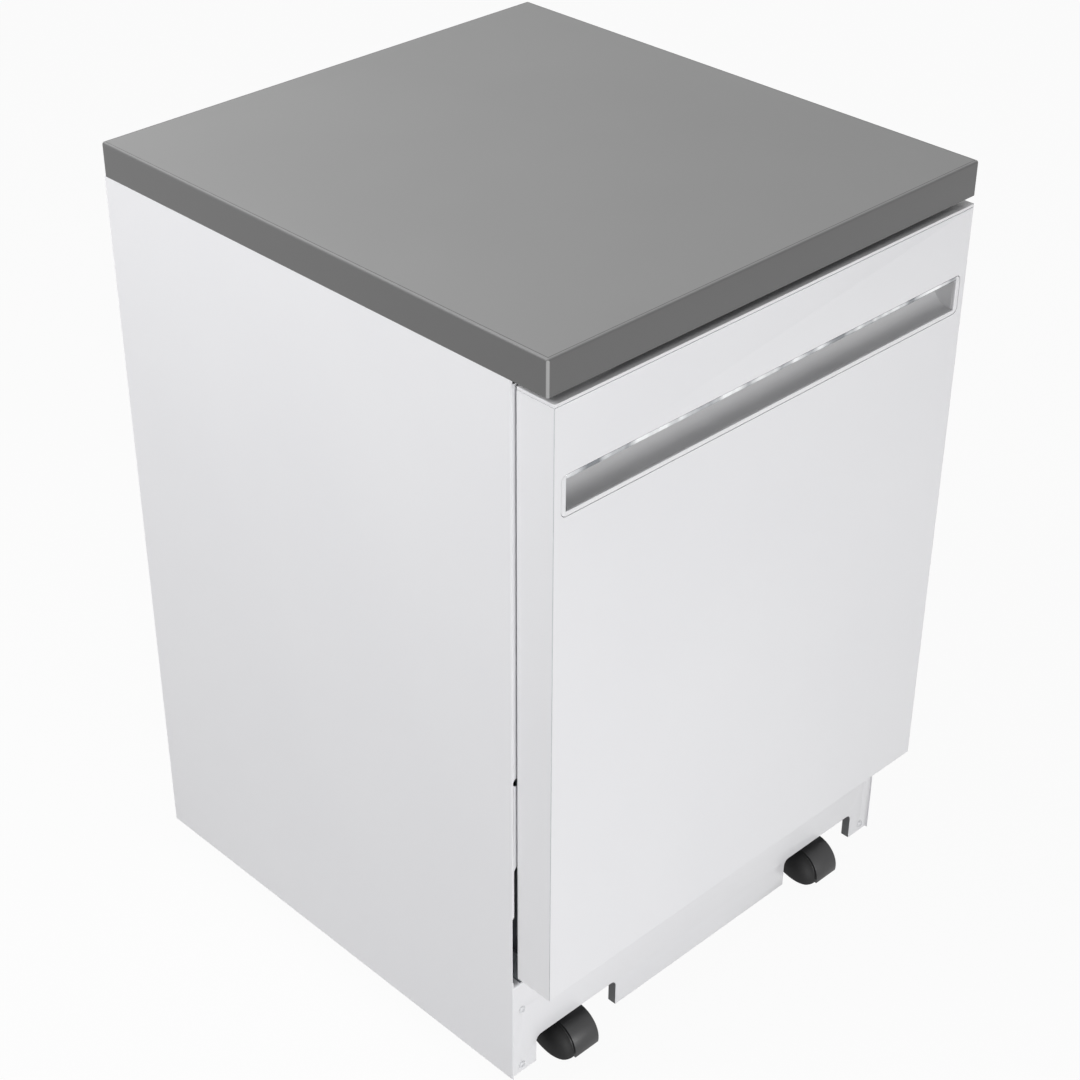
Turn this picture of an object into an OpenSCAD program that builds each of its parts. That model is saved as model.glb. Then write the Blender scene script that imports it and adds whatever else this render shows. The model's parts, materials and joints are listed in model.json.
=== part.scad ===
// Portable dishwasher on four hooded casters, with a drop-down door, two racks and a worktop.
// Millimetres. Origin on the floor under the middle of the machine, front faces -Y, +Z up.

/* [Cabinet] */
// Width over the side panels
body_w = 610; // [590:1:660]
// Depth of the worktop, front to back
worktop_d = 656; // [640:1:700]
// Height of the worktop's surface above the floor
total_h = 933; // [915:1:980]
// Thickness of the worktop
worktop_t = 38; // [25:0.5:45]
// Radius along the worktop's upper edges and corners
worktop_edge_r = 3; // [1:0.5:6]
// Height of the side panels' lower edge above the floor
panel_clear = 30.5; // [26:0.5:33]
// Thickness of the painted sheet steel
sheet_t = 1.2; // [0.8:0.1:1.6]
// Distance from the worktop's front to the side panels' front edge
panel_setback = 46.4; // [40:0.2:60]
// Width of the side panels' front flange
flange_w = 16; // [12:0.5:20]
// Diameter of the screw hole in each front flange
flange_hole_d = 9.6; // [6:0.2:12]

/* [Kick panel] */
// Height of the kick panel's top above the floor
kick_top = 164; // [155:0.5:168]
// Height of the kick panel's lower edge above the floor
kick_clear = 33; // [28:0.5:40]
// Gap between the kick panel and each side panel
kick_gap = 2; // [1.4:0.1:3]
// How far the kick panel's face sits behind the side panels' edge
kick_recess = 1.4; // [0.5:0.1:3]
// Width of each caster cut-out
cutout_w = 124; // [120:1:134]
// Height of the caster cut-outs' top above the floor
cutout_top = 70; // [66:1:74]
// Depth of the return flanges round the cut-outs
cutout_flange = 11; // [8:0.5:12]
// Corner radius of the cut-outs
cutout_r = 8; // [4:0.5:12]

/* [Door] */
// Gap between each edge of the door and the side panels' outer faces
door_side_gap = 5; // [4:0.5:9]
// Thickness of the door
door_t = 47.3; // [44:0.1:52]
// How far the door stands proud of the worktop's front
door_proud = 3.4; // [1:0.2:8]
// Gap between the worktop and the top of the door
door_top_gap = 6.8; // [5:0.2:10]
// Height of the door's lower edge above the floor
door_bottom = 180; // [174:0.5:184]
// Thickness of the painted door skin
skin_t = 1; // [0.8:0.1:1.2]
// Thickness of the moulded inner liner
liner_t = 4; // [3:0.5:5]
// Height of the trim strip that holds the buttons
strip_h = 3.8; // [3:0.1:5]
// Distance of the hinge axis in front of the liner's face
hinge_inset = 15.6; // [15:0.1:17]
// Height of the hinge axis above the door's lower edge
hinge_rise = 12; // [11:0.5:14]
// Radius of the hinge pins
hinge_pin_r = 4; // [3:0.5:5]

/* [Handle pocket] */
// Distance from each edge of the door to the pocket's surround
pocket_margin = 9.5; // [8:0.5:50]
// Height of the pocket's surround
pocket_h = 44; // [40:0.5:56]
// Distance from the top of the door to the surround
pocket_drop = 76.3; // [60:0.5:90]
// Width of the surround's rim
pocket_rim = 6; // [4:0.5:8]
// Radius of the scoop behind the fingers
scoop_r = 24; // [22:0.5:26]
// Wall of the scoop
scoop_wall = 2.5; // [2:0.1:3]

/* [Tub] */
// Room between the inside of the tub and each side panel's outer face
tub_room = 30; // [29:1:33]
// Distance from the inside of the tub's left wall to the float's stem
float_side_gap = 70; // [40:1:80]
// Depth inside the tub, behind its flange
tub_d = 525; // [520:1:540]
// Thickness of the tub's walls
tub_wall = 3; // [2:0.1:3]
// Distance from the worktop down to the tub's roof
tub_drop = 25; // [22:1:30]
// Corner radius of the tub's section
tub_r = 30; // [20:1:36]
// Step from the tub floor up to the rack tracks
track_step = 8; // [6:0.5:9]
// Depth of the sump bowl
sump_depth = 66; // [56:1:70]

/* [Racks and arms] */
// Diameter of the rack wires
wire_d = 4; // [3:0.2:4.4]
// Gap between the racks' side wires and the tub's sides
rack_side_gap = 27; // [26:1:35]
// Depth of both racks
rack_d = 486; // [470:1:488]
// Height of the lower rack's sides
lower_rack_h = 140; // [110:1:150]
// Height of the upper rack's sides
upper_rack_h = 124; // [100:1:130]
// Gap between the door liner and the racks
rack_gap = 28; // [28:0.5:32]
// Radius of the lower rack's wheels
rack_wheel_r = 17.5; // [15:0.5:18]
// Width of the lower rack's wheels
rack_wheel_w = 10; // [8:0.5:10]
// Gap between the lower spray arm's tips and the tub's sides
lower_arm_gap = 45; // [40:1:65]
// Gap between the upper spray arm's tips and the tub's sides
upper_arm_gap = 65; // [55:1:85]
// Radius of the posts that the spray arms turn on
arm_post_r = 10; // [8:0.5:11]

/* [Casters] */
// Distance from each caster's kingpin to the side panel's outer face
caster_inset = 98.5; // [95:0.5:105]
// Radius of the caster wheels
wheel_r = 25; // [24:0.5:25.5]
// Width of the caster wheels
wheel_w = 22; // [18:0.5:24]
// Outer radius of the hoods
hood_r = 31; // [30:0.5:32]
// Width of the hoods' round part
hood_w = 37; // [34:0.5:39]
// Depth of the hoods' domed end
dome_d = 19; // [12:0.5:22]
// Radius of the axles
axle_r = 4; // [3:0.25:4.5]
// Radius of the kingpins
kingpin_r = 5; // [4:0.25:5.5]

/* [Fits] */
// Radial running clearance of pins in bores
run_fit = 0.05; // [0.03:0.01:0.1]
// Gap between loose neighbours
loose = 0.4; // [0.3:0.05:0.6]

/* [Hidden] */
half_w = body_w / 2;
door_w = body_w - 2 * door_side_gap;
pocket_w = door_w - 2 * pocket_margin;
tub_w = body_w - 2 * tub_room;
float_x = float_side_gap - tub_w / 2;
float_y = -205;
rack_w = tub_w - 2 * rack_side_gap;
lower_arm_l = tub_w - 2 * lower_arm_gap;
upper_arm_l = tub_w - 2 * upper_arm_gap;
in_x = half_w - sheet_t;                            // inner face of a side panel
door_y = -(worktop_d + door_proud) / 2;             // door's front face
top_y = door_y + door_proud;                        // worktop's front face
back_y = top_y + worktop_d;                         // worktop's back face
panel_y = top_y + panel_setback;                    // side panels' front edge
panel_top = total_h - worktop_t;
kick_y = panel_y + kick_recess;                     // kick panel's face
kick_half = in_x - kick_gap + sheet_t;              // half the kick panel's width
kick_back = kick_y + sheet_t;
screw_x = kick_half - 13;
screw_rise = 39;                                    // kick screws' distance from the panel's top
screw_drop = 9.5;                                   // and from its lower edge

liner_y = door_y + door_t;                          // door liner's inner face
door_top = panel_top - door_top_gap;
strip_z = door_top - strip_h;
hinge_y = liner_y - hinge_inset;
hinge_z = door_bottom + hinge_rise;
skin_x = door_w / 2;
pocket_top = door_top - pocket_drop;
pocket_bottom = pocket_top - pocket_h;
pocket_r = 7;
bezel_t = 3;
grip_low = pocket_bottom + pocket_rim - 1;          // the pocket's opening
grip_high = pocket_top - pocket_rim;
grip_half = pocket_w / 2 - pocket_rim;
scoop_y = door_y + scoop_r - 19.5;                  // axis of the scoop's round hollow
scoop_z = grip_low + scoop_r;

flange_back = panel_y + sheet_t;                    // where the tub's flange seats
tub_x = tub_w / 2;
tub_out = tub_x + tub_wall;
tub_back = flange_back + tub_d;                     // inner face of the tub's rear wall
track_z = hinge_z + hinge_inset;                    // level with the open door's liner
floor_z = track_z - track_step;
roof_z = panel_top - tub_drop;
hinge_room_top = door_bottom + 155;                 // top of the space for the hinge arms
tub_flange_x = half_w - 9;
seal_x = tub_out + 3;                               // outer edge of the door seal
base_z = cutout_top + 2;                            // underside of the base frame
base_t = 1.5;
base_front = kick_back + 1.5;
rail_w = 21;

arm_x = tub_out + 5;                                // inner face of the hinge arms
arm_t = 3;
bracket_x = arm_x + arm_t + 2;
bracket_t = 2.5;
notch_in = arm_x - 3.5;                             // slot that clears the hinge parts
notch_out = bracket_x + bracket_t + 3.5;
tail_r = 58;

hub_y = -13;                                        // axis of both spray arms
arm_t_z = 14;                                       // thickness of the lower arm
lower_arm_z = floor_z + 22.6;
upper_arm_z = 537;
rack_half = rack_w / 2;
rack_y = liner_y + rack_gap;                        // racks' front
rack_back = rack_y + rack_d;
lower_rack_z = track_z + 52;                        // centre of the lower rack's base wires
upper_rack_z = 566;
rail_z = 600;
rail_h = 26;
rail_depth = 12;
rack_wheel_x = rack_half + 12;
rack_wheel_z = track_z + loose + rack_wheel_r;
pitch_x = rack_w / 8;                               // between neighbouring base wires
pitch_y = rack_d / 9;
rack_xs = [for (i = [-3.5:3.5]) i * pitch_x];
rack_ys = [for (i = [1:8]) rack_y + i * pitch_y];
rack_side = rack_half + 0.45 * wire_d;              // outer face of a rack's side
conduit_top = upper_rack_z + 0.35 * wire_d;         // underside of the upper rack's cross wires
rack_wheel_ys = [rack_ys[2], rack_ys[7]];
stub_r = 3;

vent_x = skin_x - 130;                              // door vent's centre
vent_z = roof_z - 170;
hose_x = half_w - 95;                               // hose and cable outlets in the rear cover
cable_x = 80 - half_w;
outlet_z = 160;
inlet_y = 150;                                      // inlet valve's place on the tub's left wall
inlet_z = floor_z + 90;

dispenser_x = -60;
dispenser_z = 560;
dispenser_w = 170;
dispenser_h = 104;
dispenser_t = 6;
cup_w = 74;
cup_h = 62;
cap_r = 17;

caster_x = half_w - caster_inset;
hood_z = wheel_r;                                   // level of the axle
trail = 34.4;                                       // kingpin behind the axle
hood_lead = 5.2;                                    // hood's centre in front of the axle
front_caster_y = kick_y + 52.4;                     // kingpins' places
rear_caster_y = back_y - 76;
race_z = base_z - 11.7;
groove_w = 2.2;
button_w = 20;
button_d = 9;
button_proud = 0.8;
button_xs = [-60, -20, 40];
e = 0.01;                                           // lets a cut pass a face

// ---------- shared shapes ----------

// Box between two corners
module block(a, b) translate(a) cube(b - a);

// The same shape on the right and the left
module both_sides() {
    children();
    mirror([1, 0, 0]) children();
}

// Extrudes a profile drawn as (Y, Z) from x0 to x1
module along_x(x0, x1) translate([x0, 0, 0]) rotate([90, 0, 90]) linear_extrude(x1 - x0) children();

// Extrudes a profile drawn as (X, Z) from y0 to y1
module along_y(y0, y1) translate([0, y1, 0]) rotate([90, 0, 0]) linear_extrude(y1 - y0) children();

// Cylinder along X or Y between two positions
module rod_x(x0, x1, y, z, r) translate([x0, y, z]) rotate([0, 90, 0]) cylinder(h = x1 - x0, r = r, $fn = 64);
module rod_y(y0, y1, x, z, r) translate([x, y0, z]) rotate([-90, 0, 0]) cylinder(h = y1 - y0, r = r, $fn = 64);
module rod_z(z0, z1, x, y, r) translate([x, y, z0]) cylinder(h = z1 - z0, r = r, $fn = 64);

// Rectangle from corner a to corner b with round corners
module round_rect(a, b, r) {
    translate([a.x + r, a.y]) square([b.x - a.x - 2 * r, b.y - a.y]);
    translate([a.x, a.y + r]) square([b.x - a.x, b.y - a.y - 2 * r]);
    for (x = [a.x + r, b.x - r], y = [a.y + r, b.y - r]) translate([x, y]) circle(r, $fn = 64);
}

// Slot with round ends, centred, along the first axis
module slot_2d(w, d) {
    square([w - d, d], center = true);
    for (s = [-1, 1]) translate([s * (w - d) / 2, 0]) circle(d / 2, $fn = 48);
}

function unit(v) = v / norm(v);

// Round wire swept along points; ns gives one vector square to the path at each point
module wire(ps, ns, r, sides = 6) {
    n = len(ps);
    ts = [for (i = [0:n - 1]) unit(ps[min(i + 1, n - 1)] - ps[max(i - 1, 0)])];
    bs = [for (i = [0:n - 1]) unit(cross(ts[i], ns[i]))];
    pts = [for (i = [0:n - 1], k = [0:sides - 1])
        ps[i] + r * (cos(360 * k / sides) * ns[i] + sin(360 * k / sides) * bs[i])];
    walls = [for (i = [0:n - 2], k = [0:sides - 1], half = [0, 1])
        let (a = i * sides + k, b = i * sides + (k + 1) % sides)
        half == 0 ? [a, b + sides, b] : [a, a + sides, b + sides]];
    caps = [[for (k = [0:sides - 1]) k], [for (k = [0:sides - 1]) n * sides - 1 - k]];
    polyhedron(pts, concat(walls, caps));
}

// ---------- cabinet ----------

module worktop() color("#8f8f8f") {
    r = worktop_edge_r;
    difference() {
        union() {
            block([-half_w + r, top_y + r, panel_top], [half_w - r, back_y - r, total_h]);
            for (x = [-half_w + r, half_w - r]) {
                rod_y(top_y + r, back_y - r, x, total_h - r, r);
                for (y = [top_y + r, back_y - r]) {
                    rod_z(panel_top, total_h - r, x, y, r);
                    translate([x, y, total_h - r]) sphere(r, $fn = 48);
                }
            }
            for (y = [top_y + r, back_y - r]) rod_x(-half_w + r, half_w - r, y, total_h - r, r);
            block([-half_w, top_y + r, panel_top], [half_w, back_y - r, total_h - r]);
            block([-half_w + r, top_y, panel_top], [half_w - r, back_y, total_h - r]);
        }
        // pilot holes for the fixing screws, from below
        for (x = [-1, 1], y = [panel_y + 40, back_y - 40])
            rod_z(panel_top - e, panel_top + 18, x * (half_w - 11), y, 1.5);
    }
}

// Left-hand side panel: one sheet with all four edges folded inwards
module side_sheet() {
    rear_w = 20;
    difference() {
        union() {
            block([-half_w, panel_y, panel_clear], [-in_x, back_y, panel_top]);
            block([-half_w, panel_y, panel_clear], [-half_w + flange_w, flange_back, panel_top]);
            block([-half_w, back_y - sheet_t, panel_clear], [-half_w + rear_w, back_y, panel_top]);
            block([-half_w, panel_y, panel_top - sheet_t], [-half_w + rear_w, back_y, panel_top]);
            block([-half_w, base_front, panel_clear], [-half_w + 14, back_y, panel_clear + sheet_t]);
        }
        // corner relief, screw hole and the space for the hinge arm
        block([-half_w + sheet_t + 1.2, panel_y - e, panel_top - 5], [-half_w + 8, flange_back + 2, panel_top + e]);
        rod_y(panel_y - e, flange_back + e, -half_w + 6.4, door_bottom + 262, flange_hole_d / 2);
        along_y(panel_y - e, flange_back + e) polygon([
            [-half_w - e, door_bottom - 6], [-half_w - e, door_bottom + 82], [-half_w + 2.5, door_bottom + 86],
            [-half_w + 2.5, door_bottom + 148], [-half_w + 8, hinge_room_top], [-half_w + flange_w + 1, hinge_room_top],
            [-half_w + flange_w + 1, door_bottom - 6]]);
        // the kick panel takes the flange's place lower down
        block([-in_x, panel_y - e, panel_clear - 1], [-half_w + flange_w + 1, flange_back + e, door_bottom - 6 + e]);
        for (y = [panel_y + 40, back_y - 40])
            rod_z(panel_top - sheet_t - e, panel_top + e, -half_w + 11, y, 2.2);
    }
}

module side_panel_left() color("#dcdcde") side_sheet();

module side_panel_right() color("#dcdcde") mirror([1, 0, 0]) side_sheet();

// Rear cover with two pressed beads, vent slots and the hose and cable holes
module rear_panel() color("#c4c4c6") {
    y0 = back_y - 2 * sheet_t;
    difference() {
        union() {
            block([-in_x + 0.3, y0, base_z + base_t], [in_x - 0.3, y0 + sheet_t, panel_top - sheet_t]);
            for (x = [-150, 150]) along_y(y0 + sheet_t - e, back_y - 0.1)
                translate([x, 500]) rotate(90) slot_2d(560, 24);
        }
        for (x = [-150, 150]) along_y(y0 - e, y0 + sheet_t / 2) translate([x, 500]) rotate(90) slot_2d(554, 18);
        for (i = [0:9]) along_y(y0 - e, back_y + e) translate([0, 330 + 16 * i]) slot_2d(120, 6);
        rod_y(y0 - e, back_y + e, hose_x, outlet_z, 34);
        rod_y(y0 - e, back_y + e, cable_x, outlet_z, 11);
    }
}

// Caster crossmembers, side rails and the brackets behind the kick panel
module base_frame() color("#8d9095") {
    top = base_z + base_t;
    lip = 26;
    difference() {
        union() {
            for (ys = [[base_front, front_caster_y + 42], [rear_caster_y - 42, rear_caster_y + 46]]) {
                block([-in_x + e, ys[0], base_z], [in_x - e, ys[1], top]);
                for (y = [ys[0], ys[1] - base_t])
                    block([-tub_out + 16, y, base_z], [tub_out - 16, y + base_t, base_z + lip]);
            }
            both_sides() {
                block([in_x - rail_w, base_front, base_z], [in_x - e, rear_caster_y + 46, top]);
                block([in_x - base_t, base_front, base_z], [in_x - e, rear_caster_y + 46, base_z + lip]);
                block([in_x - rail_w, base_front, base_z], [in_x - rail_w + base_t, rear_caster_y + 46, base_z + lip]);
                block([screw_x - 9, kick_back, kick_clear + 2], [in_x - 2, base_front, kick_top - 20]);
                // tab that anchors the door spring
                block([tub_out + 2, -52, base_z + lip - e], [in_x - e, -50, hinge_z + 10]);
                block([in_x - base_t, -90, base_z + lip - e], [in_x - e, -50, hinge_z + 10]);
            }
        }
        for (x = [-1, 1], y = [front_caster_y, rear_caster_y]) {
            rod_z(base_z - e, top + e, x * caster_x, y, 6.5);
            for (dx = [-22, 22], dy = [-22, 22]) rod_z(base_z - e, top + e, x * caster_x + dx, y + dy, 2.6);
        }
        for (x = [-screw_x, screw_x], z = [kick_top - screw_rise, kick_clear + screw_drop])
            rod_y(kick_back - e, base_front + e, x, z, 1.9);
        both_sides() rod_y(-52 - e, -50 + e, tub_out + 13, hinge_z - 5, 2.4);
    }
}

module cutout_2d() for (s = [-1, 1]) translate([s * caster_x, 0])
    round_rect([-cutout_w / 2, -20], [cutout_w / 2, cutout_top], cutout_r);

module kick_panel() color("#e4e4e6") {
    fold_r = 4;
    lug = 0.8 * sheet_t;
    difference() {
        union() {
            // face, with its top rolled back in a quarter turn
            along_x(-kick_half, kick_half) difference() {
                union() {
                    translate([kick_y, kick_clear]) square([sheet_t, kick_top - fold_r - kick_clear]);
                    translate([kick_y + fold_r, kick_top - fold_r]) circle(fold_r, $fn = 64);
                    translate([kick_y + fold_r, kick_top - sheet_t]) square([14, sheet_t]);
                }
                translate([kick_y + fold_r, kick_top - fold_r]) circle(fold_r - sheet_t, $fn = 64);
                translate([kick_y + sheet_t, kick_top - 2 * fold_r - e]) square([20, fold_r]);
                translate([kick_y + fold_r, kick_top - 2 * fold_r - e]) square([20, 2 * fold_r - sheet_t]);
            }
            // return flange round each caster cut-out
            difference() {
                along_y(kick_y + lug, kick_y + cutout_flange) for (s = [-1, 1]) translate([s * caster_x, 0])
                    round_rect([-cutout_w / 2 - sheet_t, kick_clear], [cutout_w / 2 + sheet_t, cutout_top + sheet_t],
                               cutout_r + sheet_t);
                block([-half_w, kick_y, 0], [half_w, back_y, kick_clear + cutout_r + sheet_t + 1]);
            }
            both_sides() for (x = [caster_x - cutout_w / 2 - sheet_t, caster_x + cutout_w / 2])
                block([x, kick_y + lug, kick_clear], [x + sheet_t, kick_y + cutout_flange, cutout_top - cutout_r]);
        }
        along_y(kick_y - 1, kick_y + cutout_flange + 1) cutout_2d();
        // notches round the hinge brackets
        both_sides() block([bracket_x - 1, base_front - 0.6, kick_top - 2], [bracket_x + bracket_t + 1, kick_y + 20, kick_top + 1]);
        for (x = [-screw_x, screw_x], z = [kick_top - screw_rise, kick_clear + screw_drop])
            rod_y(kick_y - e, kick_back + e, x, z, 2.3);
    }
}

module kick_screws() color("#d5d5d8")
    for (x = [-screw_x, screw_x], z = [kick_top - screw_rise, kick_clear + screw_drop]) difference() {
        union() {
            intersection() {
                rod_y(kick_y - 2.4, kick_y, x, z, 4.6);
                translate([x, kick_y + 3.4, z]) sphere(5.9, $fn = 64);
            }
            rod_y(kick_y - e, base_front - 0.1, x, z, 1.8);
        }
        translate([x, kick_y - 2.6, z]) for (a = [0, 90]) rotate([0, a, 0]) cube([4.6, 2.6, 1.1], center = true);
    }

// ---------- tub ----------

module tub_section(grow) round_rect([-tub_x - grow, floor_z - grow], [tub_x + grow, roof_z + grow], tub_r + grow);

// Hollow of the tub, less the ledges that the lower rack's wheels run on
module tub_hollow() difference() {
    along_y(flange_back - e, tub_back) tub_section(0);
    both_sides() block([tub_x - 32, flange_back - 1, floor_z - 1], [tub_x + 1, tub_back + 1, track_z]);
}

// Tub shell: walls, rack tracks, side skirts and the hole over the sump
module tub() color("#b9bcc0") difference() {
    union() {
        along_y(flange_back + tub_wall, tub_back + tub_wall) tub_section(tub_wall);
        both_sides() block([tub_out - 14, kick_y + 19, base_z + base_t],
                           [tub_out, tub_back - 20, floor_z + tub_r]);
    }
    tub_hollow();
    both_sides() block([tub_x - 11, kick_y + 23, base_z], [tub_x - tub_wall, tub_back - 24, floor_z - tub_wall]);
    rod_z(floor_z - tub_wall - e, floor_z + e, 0, hub_y, 104);
    // heater legs, float stem and the inlet
    for (s = [-1, 1]) rod_z(floor_z - tub_wall - e, floor_z + e, s * heater_leg_x, heater_leg_y, 4.3);
    rod_z(floor_z - tub_wall - e, floor_z + e, float_x, float_y, 5.05);
    rod_x(-tub_out - e, -tub_x + e, inlet_y, inlet_z, 9);
}

// Front frame of the tub, with the slot for the latch
module tub_flange() color("#b9bcc0") difference() {
    along_y(flange_back, flange_back + tub_wall) {
        round_rect([-tub_flange_x, hinge_room_top + 3], [tub_flange_x, roof_z + 22], 10);
        round_rect([-seal_x - 0.5, kick_top + 3], [seal_x + 0.5, roof_z], 10);
        tub_section(tub_wall);
    }
    tub_hollow();
    block([-18, flange_back - e, roof_z + 5], [18, flange_back + tub_wall + e, roof_z + 19]);
}

// U-shaped seal on the tub's front frame
module door_gasket() color("#3c3e41") along_y(liner_y + loose, flange_back) difference() {
    round_rect([-seal_x, track_z - 20], [seal_x, roof_z + 3], tub_r + 2);
    round_rect([-tub_x + 1, track_z - 30], [tub_x - 1, roof_z - 4], tub_r);
    translate([-half_w, 0]) square([body_w, track_z + 4]);
}

// C-shaped rails that carry the upper rack
module rack_rails() color("#9b9ea2") both_sides() difference() {
    block([tub_x - rail_depth, flange_back + 12, rail_z], [tub_x, tub_back - 12, rail_z + rail_h]);
    block([tub_x - rail_depth - 1, flange_back + 11, rail_z + 2], [tub_x - 1.5, tub_back - 14, rail_z + rail_h - 2]);
}

// ---------- door ----------

// Notches that clear the hinge arms and brackets when the door swings
module hinge_notch() both_sides()
    block([notch_in, liner_y - liner_t - 30, door_bottom - 1], [notch_out, liner_y + 1, hinge_z + 14]);

module door_skin() color("#e3e3e6") difference() {
    block([-skin_x, door_y, door_bottom], [skin_x, liner_y, strip_z]);
    block([-skin_x + skin_t, door_y + skin_t, door_bottom + skin_t], [skin_x - skin_t, liner_y + 1, strip_z + 1]);
    along_y(door_y - 1, door_y + skin_t + 1)
        round_rect([-pocket_w / 2, pocket_bottom], [pocket_w / 2, pocket_top], pocket_r);
    // the bottom wall stops at the hinge line and is notched round the hinges
    block([-skin_x + skin_t, hinge_y, door_bottom - 1], [skin_x - skin_t, liner_y + 1, door_bottom + skin_t + 1]);
    hinge_notch();
}

// Moulded inner liner with a raised field, a rounded foot and openings for what it carries
module door_liner() color("#c9cbce") {
    w = skin_x - skin_t;
    difference() {
        union() {
            block([-w, liner_y - liner_t, hinge_z], [w, liner_y, strip_z]);
            // rounded foot, concentric with the hinge axis
            along_x(-w, w) difference() {
                translate([hinge_y, hinge_z]) circle(hinge_inset, $fn = 96);
                translate([hinge_y, hinge_z]) circle(hinge_inset - liner_t, $fn = 96);
                translate([hinge_y - 40, hinge_z]) square([80, 40]);
                translate([hinge_y - 40, hinge_z - 40]) square([40, 40]);
                translate([hinge_y - 1, hinge_z - 40]) square([40, 40 - hinge_rise + skin_t]);
            }
            along_y(liner_y - liner_t - 6, liner_y) difference() {
                round_rect([-tub_x + 26, track_z + 40], [tub_x - 26, roof_z - 60], 24);
                round_rect([-tub_x + 30, track_z + 44], [tub_x - 30, roof_z - 64], 20);
            }
        }
        hinge_notch();
        // shallow field inside the raised frame
        along_y(liner_y - 1.5, liner_y + 1) round_rect([-tub_x + 30, track_z + 44], [tub_x - 30, roof_z - 64], 20);
        block([dispenser_x - dispenser_w / 2 + 6, liner_y - liner_t - 1, dispenser_z - dispenser_h / 2 + 6],
              [dispenser_x + dispenser_w / 2 - 6, liner_y + 1, dispenser_z + dispenser_h / 2 - 6]);
        rod_y(liner_y - liner_t - 1, liner_y + 1, vent_x, vent_z, 31);
    }
}

module button_2d(grow) slot_2d(button_w + 2 * grow, button_d + 2 * grow);

button_y = door_y + 26;

// Trim along the top of the door, with a shallow box below for the switches
module control_strip() color("#e0e0e3") difference() {
    union() {
        block([-skin_x, door_y, strip_z], [skin_x, liner_y, door_top]);
        block([-86, door_y + 12, strip_z - 16], [66, liner_y - liner_t, strip_z]);
    }
    for (x = button_xs) translate([x, button_y, strip_z - 14]) linear_extrude(40) button_2d(loose);
    block([-84, door_y + 14, strip_z - 14], [64, liner_y - liner_t - 2, strip_z - 2]);
}

// Push button with a retaining skirt under the strip
module button(i) translate([button_xs[i], button_y, 0]) difference() {
    union() {
        translate([0, 0, strip_z - 9]) linear_extrude(door_top + button_proud - strip_z + 9) button_2d(0);
        translate([0, 0, strip_z - 5]) linear_extrude(2.6) button_2d(2.5);
        translate([0, 0, strip_z - 13.6 + 2.2]) cylinder(h = 4, r = 3, $fn = 48);
    }
    translate([0, 0, door_top + button_proud + 19.6]) sphere(20, $fn = 128);
}

module start_button() color("#5e6166") button(0);
module cycle_button() color("#d2d3d6") button(1);
module dry_button() color("#d2d3d6") button(2);

// White surround of the handle pocket, open at the top
module handle_bezel() color("#e6e6e8") difference() {
    along_y(door_y, door_y + bezel_t)
        round_rect([-pocket_w / 2 + 0.2, pocket_bottom + 0.2], [pocket_w / 2 - 0.2, pocket_top - 0.2], pocket_r - 0.2);
    block([-grip_half, door_y - 1, grip_low], [grip_half, door_y + bezel_t + 1, pocket_top + 1]);
}

// Concave finger scoop behind the opening
module handle_scoop() color("#a3a3a4") difference() {
    block([-grip_half - scoop_wall, door_y + bezel_t, grip_low - scoop_wall],
          [grip_half + scoop_wall, scoop_y + scoop_r + scoop_wall, scoop_z + scoop_r]);
    rod_x(-grip_half, grip_half, scoop_y, scoop_z, scoop_r);
    block([-grip_half, door_y, scoop_z], [grip_half, scoop_y, grip_high]);
    block([-grip_half - scoop_wall - 1, door_y, scoop_z + scoop_r - 5],
          [grip_half + scoop_wall + 1, scoop_y + scoop_r + scoop_wall + 1, scoop_z + scoop_r + 1]);
}

// Bright grip bar along the top of the opening
module handle_lip() color("#d8dadd") along_x(-grip_half, grip_half) difference() {
    union() {
        translate([door_y, grip_high + 3]) square([bezel_t, pocket_rim - 3.2]);
        translate([door_y + 3, grip_high + 3]) circle(3, $fn = 48);
        translate([door_y + bezel_t, grip_high + 2.2]) square([8, 1.6]);
    }
    translate([door_y + bezel_t, grip_high - 1]) square([6, 3.2]);
}

// Steel arm on each side of the door: foot in the door, eye on the pin, tail for the spring
module hinge_arms() color("#8f9297") both_sides() difference() {
    along_x(arm_x, arm_x + arm_t) {
        translate([hinge_y - 8, hinge_z]) square([liner_y - liner_t - hinge_y + 8, 120]);
        translate([hinge_y, hinge_z]) circle(11.5, $fn = 96);
        polygon([[hinge_y, hinge_z + 11], [hinge_y + tail_r, hinge_z + 2], [hinge_y + tail_r, hinge_z - 10],
                 [hinge_y, hinge_z - 11]]);
        translate([hinge_y + tail_r, hinge_z - 4]) circle(6, $fn = 48);
    }
    rod_x(arm_x - 1, arm_x + arm_t + 1, hinge_y, hinge_z, hinge_pin_r + run_fit);
    rod_x(arm_x - 1, arm_x + arm_t + 1, hinge_y + tail_r, hinge_z - 4, 2.2);
}

module hinge_pins() color("#b4b6ba") both_sides() {
    rod_x(arm_x - 2.4, bracket_x, hinge_y, hinge_z, hinge_pin_r);
    rod_x(arm_x - 2.6, arm_x - loose, hinge_y, hinge_z, hinge_pin_r + 2);
}

// Bracket that stands on the base rail and carries the pin
module hinge_brackets() color("#7d8085") both_sides() {
    along_x(bracket_x, bracket_x + bracket_t) {
        translate([hinge_y, hinge_z]) circle(11, $fn = 64);
        polygon([[hinge_y, hinge_z + 11], [base_front + 22, hinge_z + 8], [base_front + 22, base_z + base_t],
                 [base_front, base_z + base_t], [base_front, door_bottom - 4], [hinge_y, hinge_z - 11]]);
    }
    block([bracket_x, base_front, base_z + base_t], [in_x - 2 * base_t, base_front + 22, base_z + base_t + 2]);
}

spring_r = 5.5;
spring_wire = 1.1;
spring_turns = 14;
spring_start = hinge_y + tail_r + 16;
spring_end = -60;

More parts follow.
